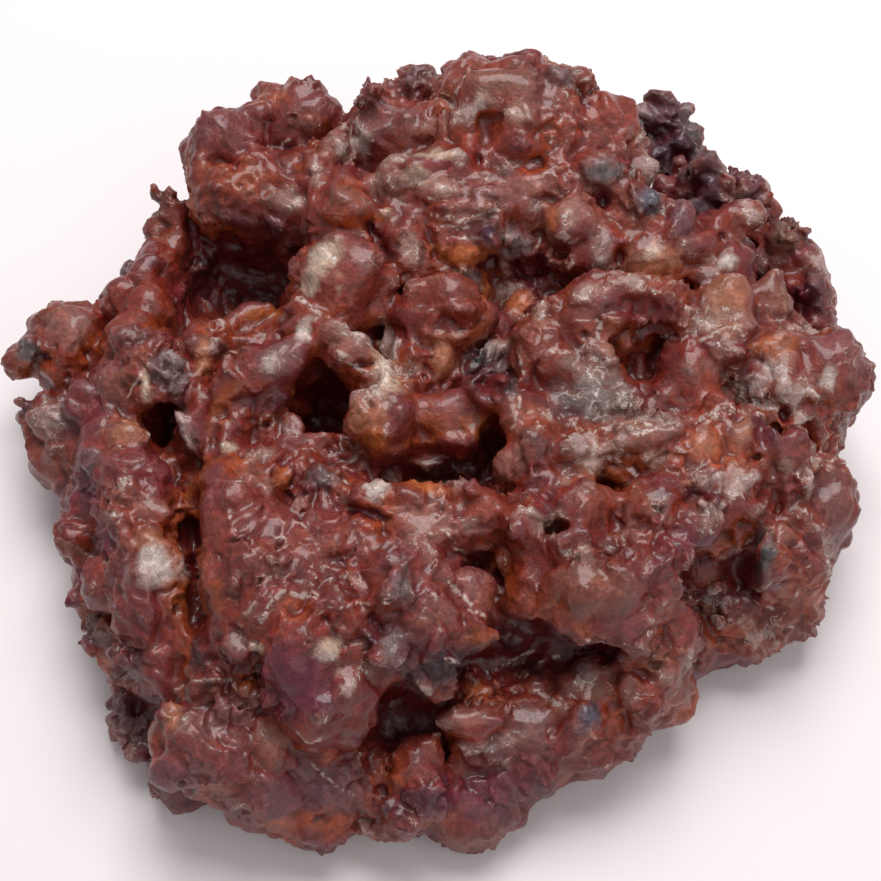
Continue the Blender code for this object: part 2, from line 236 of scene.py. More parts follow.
TOP_EAST = {
    "basin": (25, 4, 24, 15, 10, 9, 0),
    "basin lip": (30, -6, 29, 17, 4.5, 8, 8),
    "basin lip east": (43, -3.5, 28, 12, 5, 8, 10),
    "spine": (14.5, -6, 29, 5, 13, 9, 8),
    "spine head": (17.5, 14.5, 28, 7, 8, 8, 0),
    "south fold": (23.5, -29.5, 26, 14, 10, 12, 0),
    "fold west": (19, -19.5, 28, 10, 8, 11, 0),
    "fold east": (35.5, -20.5, 27, 9, 12, 11, 0),
    "flap": (44, -13.5, 27, 8, 8, 9, 0),
    "fold foot": (34, -31, 20, 7, 8, 9, 0),
    "burnt flake": (52.5, -24, 24, 2.4, 3.4, 7, -20),
    "fold crest": (16, -22, 35, 8, 4.2, 3.5, -25),
    "fold crest east": (33, -17, 35, 5.8, 4.8, 3.5, 30),
    "fold brow": (30, -28, 34, 6.9, 4.8, 4, 10),
    "fold chin": (20, -35.5, 27, 7, 5, 6, 0),
    "lip knuckle": (24, -7, 34, 5.8, 3.6, 3, 5),
    "lip knuckle east": (36, -6, 34, 5.2, 3.6, 3, 20),
}
TOP_MIDDLE = {
    "grey crag": (0, 19.5, 30, 9, 5.5, 6, 0),
    "orange slope": (-2, 14.5, 24, 9, 6, 7, 0),
    "crown foot": (5, 33.5, 28, 12, 6, 8, 0),
    "crown foot west": (-7.5, 34.5, 28, 7, 7, 8, 0),
    "lattice": (-9, 0.8, 29.5, 5.2, 8.5, 7, 0),
    "oval knob": (2.5, -1, 25, 9, 5.5, 6, 0),
    "black crag": (8, 4, 32, 4.5, 3.5, 4.5, -30),
    "south ridge": (-1, -17.5, 28, 17, 5.5, 9, -4),
    "south mass": (-7, -29.5, 28, 12, 9, 11, 0),
    "south brow": (-2.5, -37.5, 26, 11, 7, 10, 0),
    "brow crag": (2, -35.5, 32.5, 4.5, 3.5, 3, 30),
    "brow crag west": (-8, -33, 36, 4.6, 3.6, 3, -20),
    "ridge crag": (-10, -17, 34, 4, 3.6, 3, 15),
    "ridge crag east": (4, -19, 33, 4.6, 3.6, 3, 0),
}
TOP_WEST = {
    "droplet": (-17.5, 25.5, 30, 9, 8.5, 9, 0),
    "droplet neck": (-17.5, 39.5, 30, 7, 9, 8, 0),
    "web": (-17.5, 13, 31, 11, 3.5, 5, -35),
    "mound": (-29.5, 8, 26, 11, 6, 8, 30),
    "mound foot": (-37, 2.5, 22, 7, 8, 8, 0),
    "cave sill": (-24.5, -6, 22, 8, 6, 8, 0),
    "cave lip": (-17, -13.5, 26, 7, 5, 8, 0),
    "west slope": (-33, -11.5, 25, 9, 7, 9, 0),
    "west mass": (-30.5, -22, 28, 10, 8, 10, 0),
    "west brow": (-26.5, -30.5, 28, 13, 10, 11, 0),
    "west mass east": (-17, -23.5, 28, 9, 8, 10, 0),
    "west brow east": (-17, -35.5, 28, 11, 8, 10, 0),
    "trench side": (-35, -34, 22, 7, 8, 10, 0),
    "mass crag": (-33, -17, 34, 4.6, 4.8, 3.5, 0),
    "mass crag south": (-30, -27, 35, 5.2, 4.2, 3.5, 20),
    "bulb crest": (-21, -38, 34, 5.8, 4.2, 3, 0),
    "mound crest": (-31, 9, 31, 5.2, 3.6, 2.5, 30),
    "hollow sill": (-33, 24.5, 17, 6, 4, 6, 0),
    "hollow sill west": (-40, 18, 20, 5, 6, 7, 0),
}
HOLLOWS = {
    "north west": (-36, 34, 21, 11, 8.5, 12, 10),
    "west pit": (-47.5, 4, 22, 3, 4.4, 8, 0),
    "cave": (-20, 5, 24, 6.5, 7, 12, 0),
    "centre": (-1, -9, 26, 10, 4.5, 11, 0),
    "centre east": (8.5, -3.5, 28, 3, 5, 8, -15),
    "purple": (12, 29, 33, 7, 4.5, 9, 0),
    "crown slot": (7.5, 48, 43, 3, 8, 5, -10),
    "red basin": (35, 12, 33, 8, 4.5, 9, 0),
    "amber": (42, -26, 28, 8.5, 6, 10, 8),
    "under flap": (42, -21.5, 31, 5, 3, 6, 0),
    "front crease": (11, -37.5, 24.5, 19, 6.5, 8, 8),
    "front crease west": (-7, -45.5, 21, 8, 4.5, 8, 10),
    "trench": (-39.5, -25, 32, 2.8, 16, 9, 4),
    "north east slot": (49.5, 44, 22, 2, 6, 8, 0),
    "fold pit": (17.5, -22, 39, 3, 2.6, 6, 0),
    "brow pit": (8, -26, 34, 4, 4, 9, 0),
    "lobe pit": (60, -2, 28, 2.5, 3.5, 8, 0),
    "lobe pit west": (53.5, -3, 34, 3, 3, 7, 0),
    "rim slot": (60.5, 26, 24, 2, 6, 8, 0),
}

# Colours as a screen shows them.
AMBER = (150, 68, 24)
ORANGE = (188, 100, 46)
BRIGHT = (208, 112, 60)
PEACH = (178, 116, 84)
CREAM = (222, 200, 174)
BEIGE = (190, 152, 130)
WHITE = (216, 208, 202)
FILM = (172, 152, 144)
GREY = (144, 134, 130)
ASH = (106, 104, 104)
BLUE = (86, 90, 106)
LILAC = (156, 130, 138)
ROSE = (126, 58, 56)
RED = (140, 56, 40)
DEEP_RED = (108, 32, 30)
WINE = (102, 34, 56)
PURPLE = (64, 24, 46)
MAROON = (84, 20, 28)
DARK = (48, 16, 24)
BLACK = (28, 22, 24)
MAUVE = (122, 74, 72)
BROWN = (134, 80, 62)
PINK = (158, 104, 92)
OLIVE = (130, 98, 78)
VIOLET = (112, 72, 82)

# The marks below are placed where the photo shows them: x and y are pixels from its left and top, and sizes
# are half sizes in pixels, across and up the photo before the turn in degrees.
# Small lumps: x, y, width, height, turn, and how far one stands out of the solid in mm.
SMALL_LUMPS = {
    "knob west dome": (225, 135, 30, 30, 0, 1.2),
    "knob east dome": (308, 112, 33, 30, 0, 1.2),
    "knob ledge": (285, 202, 30, 14, -25, 1.2),
    "knob foot": (240, 215, 28, 12, -20, 1),
    "knob flank": (203, 172, 13, 26, 0, 0.8),
    "pillar top": (176, 210, 16, 13, 0, 1.2),
    "pillar": (176, 243, 17, 20, 0, 1.2),
    "pillar foot": (148, 265, 20, 13, 35, 1),
    "shelf lump": (152, 302, 26, 20, -20, 1.2),
    "shelf lump low": (130, 335, 18, 18, 0, 0.9),
    "orange lump": (255, 312, 22, 13, 20, 1),
    "small lump": (232, 300, 12, 14, 0, 1),
    "north lobe ball": (77, 328, 27, 26, 0, 1.4),
    "north lobe low": (65, 372, 26, 15, -20, 0.8),
    "south lobe": (62, 425, 36, 22, -20, 0.8),
    "side finger": (92, 391, 15, 5, -20, 0.7),
    "side knob": (92, 458, 12, 17, 0, 1),
    "west lump": (115, 385, 18, 26, 0, 0.8),
    "west lump low": (124, 436, 28, 17, 0, 1),
    "white sliver": (146, 387, 4, 18, 8, 0.9),
    "finger": (188, 430, 8, 28, 22, 1.6),
    "small finger": (170, 440, 5, 14, 22, 1),
    "orange nodule": (171, 468, 15, 17, 20, 0.9),
    "beige lump": (204, 358, 10, 20, 0, 1),
    "tube": (238, 338, 22, 6, 5, 0.9),
    "mound": (275, 365, 48, 24, 32, 1.4),
    "flank of mound": (240, 415, 13, 26, 12, 1),
    "lilac lump": (294, 430, 13, 20, 14, 1.2),
    "round bead": (251, 478, 14, 14, 0, 1),
    "orange bead": (283, 478, 9, 11, 0, 0.9),
    "pale bead": (268, 487, 11, 10, 0, 0.9),
    "grey bead": (306, 472, 10, 10, 0, 0.9),
    "white bead": (302, 505, 9, 8, 0, 0.9),
    "red lump": (238, 500, 18, 26, 8, 1.1),
    "red bead": (328, 507, 14, 18, 0, 1.2),
    "long chip": (259, 513, 6, 14, -20, 0.7),
    "west knuckle": (152, 512, 26, 15, -10, 1.1),
    "south knuckle": (158, 560, 26, 24, 0, 1.1),
    "wine lump": (85, 505, 18, 22, 10, 0.8),
    "wine lump low": (105, 585, 22, 30, 20, 0.8),
    "crumbly crest": (108, 636, 12, 32, 38, 0.8),
    "crumbly crest low": (135, 670, 14, 9, -40, 0.7),
    "low flap": (180, 770, 34, 24, 15, 1),
    "slab lump": (268, 745, 22, 28, 0, 0.9),
    "bulb": (305, 658, 40, 44, 0, 1.8),
    "brown mound": (238, 665, 26, 15, 10, 1.3),
    "grey mound": (235, 642, 14, 12, 0, 0.8),
    "small white lump": (257, 648, 8, 7, 0, 0.8),
    "nodule high": (390, 632, 13, 14, 0, 1.1),
    "nodule low": (384, 655, 15, 12, 0, 1.1),
    "flap lump": (428, 618, 34, 36, 0, 1.2),
    "flap end": (470, 595, 30, 28, -40, 0.9),
    "orange under flap": (478, 636, 18, 14, 0, 1),
    "crisp knob": (476, 697, 26, 20, 0, 1.7),
    "crisp body": (470, 722, 36, 17, 0, 0.9),
    "ball": (530, 728, 30, 32, 0, 2.2),
    "low knob": (420, 765, 28, 30, 0, 2),
    "shelf lump east": (592, 690, 34, 34, 0, 1.7),
    "shelf crest": (560, 672, 24, 11, 20, 0.8),
    "edge lump": (630, 690, 13, 19, 0, 0.9),
    "end knob": (662, 677, 22, 26, 0, 1.6),
    "pocket cap": (698, 525, 28, 24, 0, 1),
    "pocket floor": (697, 568, 28, 22, 0, 0.9),
    "pocket stone": (662, 590, 14, 16, 0, 0.9),
    "pale block": (700, 456, 23, 32, 0, 1.2),
    "amber ridge": (738, 440, 11, 28, -30, 1),
    "grey flake": (765, 553, 9, 26, -8, 1.4),
    "east lobe": (828, 372, 38, 44, 0, 1),
    "east lobe root": (775, 345, 28, 16, 12, 0.9),
    "south east lobe": (822, 505, 34, 50, 0, 0.9),
    "ring lump": (803, 474, 13, 13, 0, 0.9),
    "east bead": (745, 478, 14, 14, 0, 0.8),
    "round dome": (582, 322, 22, 24, 0, 1.5),
    "brown lump": (622, 335, 13, 22, 0, 1.1),
    "rod": (640, 362, 7, 38, 0, 1.4),
    "smooth lobe": (688, 372, 36, 38, 10, 1.3),
    "peach lobe": (726, 305, 28, 38, -12, 1.4),
    "red nub": (735, 352, 13, 12, 0, 1.4),
    "amber band": (640, 440, 48, 11, 12, 0.9),
    "pale bump": (570, 222, 26, 28, 0, 1.5),
    "grey bump": (603, 245, 16, 30, -10, 1.1),
    "pale mass": (650, 255, 32, 22, 0, 1),
    "orange nodule east": (525, 305, 20, 17, 0, 1.3),
    "violet lobe": (682, 215, 15, 20, 15, 1.2),
    "rim tooth east": (742, 185, 24, 15, 0, 1.2),
    "rim tooth under": (745, 212, 24, 16, 0, 1),
    "rim lump": (785, 238, 20, 16, 0, 1.1),
    "rim bead": (765, 258, 16, 16, 0, 1),
    "rim bead small": (710, 260, 10, 10, 0, 0.9),
    "rim lobe": (772, 300, 20, 34, 5, 1),
    "rim far lump": (815, 282, 9, 24, 8, 0.9),
    "crown west": (385, 128, 30, 30, 0, 1),
    "crown lump": (430, 128, 24, 14, 5, 1.1),
    "crown knuckle": (402, 178, 18, 12, 25, 0.9),
    "crown knuckle east": (440, 190, 24, 14, 0, 0.9),
    "crown lump east": (520, 140, 26, 16, -10, 0.9),
    "crown top": (500, 90, 42, 26, 0, 0.8),
    "shoulder": (332, 150, 16, 30, -20, 1),
    "neck": (350, 205, 28, 20, 0, 1),
    "orange bump": (388, 213, 14, 10, 0, 0.9),
    "pink bump": (410, 224, 9, 10, 0, 0.8),
    "lilac nodule": (410, 251, 13, 20, 10, 1.2),
    "droplet": (342, 270, 40, 40, 0, 1.5),
    "grey crag lump": (450, 288, 32, 20, 0, 1.3),
    "red crag lump": (418, 292, 15, 18, 0, 1.1),
    "fuzzy block": (442, 355, 14, 24, 0, 1.3),
    "oval knob": (447, 412, 42, 26, -5, 1.6),
    "web knot": (388, 345, 9, 18, 10, 1),
    "web block": (368, 415, 24, 30, 0, 0.3),
    "ridge lobe": (512, 462, 18, 24, -45, 1.1),
    "shoulder lobe": (385, 478, 20, 18, 0, 1.2),
    "arch": (428, 483, 32, 10, -18, 1.1),
    "fuzzy slab": (420, 530, 36, 28, 0, 0.8),
    "rose lobe": (480, 510, 26, 30, 0, 0.8),
    "small stone": (538, 512, 8, 9, 0, 0.9),
    "fold lump": (515, 560, 18, 26, 20, 0.7),
    "fold lump east": (600, 585, 46, 34, -10, 0.9),
    "fold lump high": (660, 500, 22, 18, 0, 0.8),
    "brown rib": (615, 505, 30, 16, -30, 0.8),
    "lilac rib": (630, 522, 5, 22, 10, 0.8),
    "east plateau lump": (620, 470, 24, 14, -25, 0.8),
    "shoulder dome": (596, 128, 50, 34, 35, 0.5),
    "crag root": (640, 168, 18, 20, 0, 1.4),
    "crag root east": (668, 188, 17, 16, 0, 1.6),
}

# Pits: x, y, width, height, turn, and depth in mm.
PITS = {
    "knob crease": (230, 158, 26, 6, -25, 1.2),
    "knob groove": (268, 130, 6, 22, -10, 1.2),
    "pillar gap": (193, 230, 8, 22, 0, 1.5),
    "ring hole": (215, 327, 4, 4, 0, 0.8),
    "side gap": (107, 325, 9, 18, 0, 1.2),
    "west gap": (170, 405, 13, 18, 0, 1.8),
    "mound gap": (215, 440, 7, 24, -10, 1.2),
    "bead hole": (292, 493, 5, 6, 0, 1),
    "ring hole two": (265, 422, 5, 4, 0, 0.7),
    "slot": (365, 512, 26, 7, -15, 1.6),
    "bulb side": (275, 670, 5, 30, 5, 1.2),
    "column gap": (205, 632, 8, 22, 0, 1.4),
    "nodule gap": (375, 625, 9, 14, 20, 1.4),
    "pocket dark": (740, 572, 12, 28, 0, 1.6),
    "block gap": (705, 496, 22, 6, -5, 1.4),
    "east pit": (762, 432, 10, 18, 10, 1.6),
    "east pit red": (785, 415, 8, 14, 15, 1.5),
    "rim groove": (800, 308, 10, 24, -8, 1.8),
    "black pit": (603, 197, 11, 12, 0, 2),
    "red basin": (640, 305, 34, 13, -3, 1.6),
    "amber spot": (620, 255, 7, 10, 0, 1.2),
    "purple mouth": (560, 250, 8, 9, 0, 1.5),
    "purple pit": (530, 268, 22, 16, 0, 1.6),
    "crown hole": (478, 157, 6, 8, 0, 1.4),
    "crown crease": (486, 134, 8, 16, -10, 0.8),
    "shoulder hole": (357, 172, 7, 10, 20, 1.3),
    "maroon gap": (380, 240, 8, 26, 35, 1.5),
    "crag under": (455, 322, 34, 12, 0, 1.2),
    "red slit": (365, 362, 14, 4, 5, 1),
    "knob under": (440, 452, 48, 10, 0, 1.3),
    "crag gap": (488, 388, 20, 10, -25, 1.2),
    "hole": (545, 502, 14, 14, 0, 2),
    "window": (537, 468, 5, 6, 0, 1),
    "hole low": (480, 560, 11, 12, 0, 1.8),
    "small slot": (548, 545, 4, 14, 10, 0.9),
    "rim dark": (722, 234, 6, 6, 0, 1.2),
    "basin corner": (615, 308, 14, 7, 10, 1.2),
    "black crag pit": (494, 380, 20, 16, 0, 2.2),
    "trench pit": (196, 560, 8, 50, 4, 1.4),
}

# Broken crumbs: x, y, how far they scatter, how many, and how big in mm.
CRUMBS = {
    "north lobe tip": (28, 350, 8, 5, 2),
    "back west": (374, 98, 10, 9, 2),
    "back middle": (420, 84, 14, 12, 2.2),
    "back spike": (558, 74, 4, 4, 1.8),
    "back east": (584, 84, 14, 14, 2.3),
    "back east low": (606, 100, 7, 5, 1.6),
    "spiked crag": (660, 118, 18, 9, 3.6),
    "spiked arm": (688, 132, 9, 6, 2.6),
    "spiked mass": (672, 160, 24, 10, 3.4),
    "rim crag": (708, 170, 12, 8, 2.8),
    "rim crag low": (700, 205, 14, 7, 2.6),
    "rim tooth": (742, 180, 16, 8, 2),
    "rim lump": (788, 232, 14, 8, 1.8),
    "rim far": (815, 290, 9, 7, 1.6),
    "grey cap": (600, 168, 14, 12, 1.8),
    "grey bridge": (634, 180, 14, 8, 1.3),
    "blue knob": (648, 200, 10, 7, 1.6),
    "dark crag": (488, 232, 8, 10, 1.6),
    "crag grey": (512, 240, 14, 12, 1.4),
    "crag tip": (504, 262, 4, 4, 1.4),
    "grey eye": (508, 166, 9, 6, 1.3),
    "crag cap": (462, 284, 14, 10, 1.4),
    "black crag": (488, 365, 16, 16, 1.8),
    "black crag low": (505, 385, 10, 8, 1.8),
    "crag cap mid": (492, 347, 9, 8, 1.3),
    "south lobe corner": (24, 404, 4, 3, 1.6),
    "rim west": (124, 268, 8, 6, 1.8),
    "rim west high": (168, 200, 9, 6, 1.8),
    "side crest": (104, 632, 14, 14, 1.8),
    "side crest low": (128, 664, 12, 9, 1.5),
    "low crag": (130, 712, 16, 14, 2.2),
    "low crag east": (146, 740, 12, 8, 1.8),
    "low flap": (168, 786, 18, 8, 1.8),
    "west crag": (170, 372, 14, 8, 1.4),
    "swirl": (322, 482, 18, 14, 1.3),
    "swirl low": (300, 500, 12, 8, 1.2),
    "nodule": (388, 644, 14, 14, 1.5),
    "nodule gap": (374, 632, 6, 6, 1.3),
    "grey swirl": (400, 582, 14, 10, 1.3),
    "crumbs": (462, 482, 16, 10, 1.2),
    "basin chain": (640, 416, 30, 18, 1.2),
    "cap crag": (702, 500, 12, 10, 1.5),
    "block fringe": (700, 488, 18, 12, 1.1),
    "flake": (764, 548, 7, 6, 1.8),
    "pocket stones": (720, 598, 26, 12, 1.2),
    "slab rim": (225, 680, 40, 22, 1.1),
    "slab left": (168, 712, 6, 10, 1.3),
    "crisp knob": (474, 688, 18, 14, 1.2),
    "mass crumbs": (255, 560, 30, 16, 1),
    "plateau crumbs": (600, 560, 30, 10, 1),
}

# Threads of dried glaze, each named after the lump it is near: half width in mm and the places it runs
# through. Two of them are painted highlights drawn as raised threads.
THREADS = {
    "web knot": (0.8, (300, 298), (320, 314), (345, 329), (365, 338), (380, 343)),
    "web knot 2": (0.5, (330, 318), (350, 330), (362, 345)),
    "round dome": (0.6, (600, 322), (597, 338), (583, 349), (562, 352), (550, 350)),
    # A painted highlight along the top of the round dome, drawn as a raised thread.
    "round dome 2": (0.5, (568, 319), (584, 321), (600, 320)),
    "red nub": (0.7, (664, 336), (680, 343), (700, 341), (718, 331), (735, 326), (745, 338)),
    "amber band": (
        0.8, (578, 428), (592, 432), (606, 428), (618, 424), (630, 428),
        (641, 433), (654, 429), (668, 424), (680, 420),
    ),
    "east plateau lump": (0.6, (582, 444), (600, 450), (618, 461), (636, 474), (636, 490)),
    "rod": (0.5, (600, 384), (594, 400), (590, 410)),
    "round dome 3": (0.4, (556, 384), (566, 392), (576, 396)),
    "east plateau lump 2": (0.4, (566, 408), (574, 420), (580, 428)),
    "ridge lobe": (0.5, (548, 398), (556, 410), (560, 422)),
    "rod 2": (0.5, (590, 366), (600, 370), (604, 380)),
    "amber ridge": (0.6, (735, 386), (754, 374), (764, 390), (760, 406), (746, 411), (728, 413)),
    "amber ridge 2": (0.6, (702, 421), (718, 408), (738, 398), (752, 388)),
    "peach lobe": (0.4, (708, 300), (716, 290), (724, 285)),
    "ridge lobe 2": (0.5, (518, 352), (523, 376), (520, 400), (514, 428), (502, 452), (488, 470)),
    "web block": (0.5, (398, 412), (388, 424), (383, 440)),
    "web knot 3": (0.5, (376, 382), (388, 372), (395, 352)),
    "crown knuckle east": (0.5, (430, 200), (455, 207), (478, 204), (496, 206)),
    "crown knuckle east 2": (0.5, (432, 214), (458, 222), (486, 214), (500, 210)),
    "grey crag lump": (0.4, (446, 238), (466, 237), (482, 241)),
    "crown knuckle east 3": (0.4, (440, 226), (470, 228), (492, 224)),
    "flap end": (0.6, (448, 532), (460, 552), (478, 572), (502, 590), (490, 606)),
    "flap end 2": (0.6, (448, 582), (470, 606), (488, 622)),
    "bulb": (0.8, (262, 622), (270, 604), (286, 592), (302, 596), (314, 596), (318, 612)),
    "brown mound": (0.6, (160, 706), (176, 690), (196, 680), (226, 679), (246, 690), (270, 698)),
    # A painted ring of highlight on the top of the ball, drawn as a raised thread.
    "ball": (0.6, (506, 712), (514, 703), (530, 701), (544, 712), (550, 730)),
    "shelf crest": (0.7, (532, 690), (548, 698), (560, 704)),
    "slab lump": (0.5, (298, 732), (310, 746), (326, 736)),
    "low knob": (0.5, (310, 762), (334, 784), (350, 795), (358, 808)),
    "shelf lump east": (0.5, (580, 664), (596, 660), (612, 664)),
    "edge lump": (0.5, (586, 640), (612, 645), (630, 660)),
    "pocket floor": (0.6, (680, 580), (688, 598), (716, 604), (746, 600), (756, 590)),
    "shelf crest 2": (0.5, (500, 668), (524, 655), (540, 650)),
    "shelf crest 3": (0.5, (520, 676), (545, 660), (570, 655)),
    "red lump": (0.5, (218, 480), (228, 504), (236, 530)),
    "white bead": (0.5, (288, 516), (306, 530), (320, 548)),
    "white bead 2": (0.5, (300, 548), (310, 566), (318, 580)),
    "knob east dome": (0.5, (262, 152), (276, 148), (290, 140)),
    "crown top": (0.5, (470, 66), (465, 80), (455, 96)),
    "crown lump east": (0.5, (550, 140), (556, 128), (560, 120)),
    "shoulder dome": (0.5, (584, 118), (604, 116), (620, 110)),
    "orange nodule east": (0.5, (510, 246), (505, 262), (500, 272)),
    "orange nodule east 2": (0.5, (560, 294), (548, 300), (540, 290)),
    "round dome 4": (0.5, (578, 296), (592, 300), (602, 296)),
    "rim bead small": (0.5, (700, 286), (712, 276), (730, 272), (744, 280)),
    "east lobe": (0.5, (800, 392), (812, 388), (820, 398)),
    "east lobe root": (0.5, (772, 388), (786, 388), (796, 394)),
    "grey flake": (0.5, (800, 570), (812, 562), (806, 580), (796, 596), (786, 612), (776, 624)),
    "grey flake 2": (0.5, (752, 600), (780, 612), (800, 600)),
    "orange under flap": (0.5, (444, 658), (458, 664), (470, 668)),
    "low knob 2": (0.4, (405, 752), (420, 756), (434, 760)),
    "white sliver": (0.5, (128, 398), (138, 380), (150, 364)),
    "nodule high": (0.5, (330, 580), (350, 576), (364, 586)),
    "nodule high 2": (0.5, (320, 612), (344, 606), (368, 604)),
    "small lump": (0.5, (196, 290), (206, 302), (212, 310)),
    "fuzzy slab": (0.5, (392, 548), (410, 540), (430, 534), (446, 530)),
    "shoulder lobe": (0.4, (336, 470), (350, 462), (360, 452)),
    "red bead": (0.5, (316, 484), (330, 476), (344, 480), (348, 492)),
    "grey bead": (0.4, (300, 448), (320, 450), (336, 448)),
    "web knot 4": (1.2, (380, 343), (386, 360), (384, 380), (372, 392), (364, 404)),
    "web knot 5": (0.8, (398, 340), (392, 356), (388, 372)),
    "web knot 6": (0.9, (340, 352), (356, 366), (372, 376)),
}

# Burst bubbles, named the same way: x, y and radius.
BUBBLES = {
    "tube": (217, 325, 9),
    "tube 2": (232, 357, 8),
    "lilac lump": (268, 422, 9),
    "long chip": (262, 580, 7),
    "nodule high": (388, 598, 7),
    "red nub": (731, 378, 7),
    "long chip 2": (281, 543, 8),
    "fold lump high": (655, 506, 6),
    "fold lump": (537, 586, 5),
    "bulb": (310, 642, 6),
    "ring lump": (803, 474, 9),
}
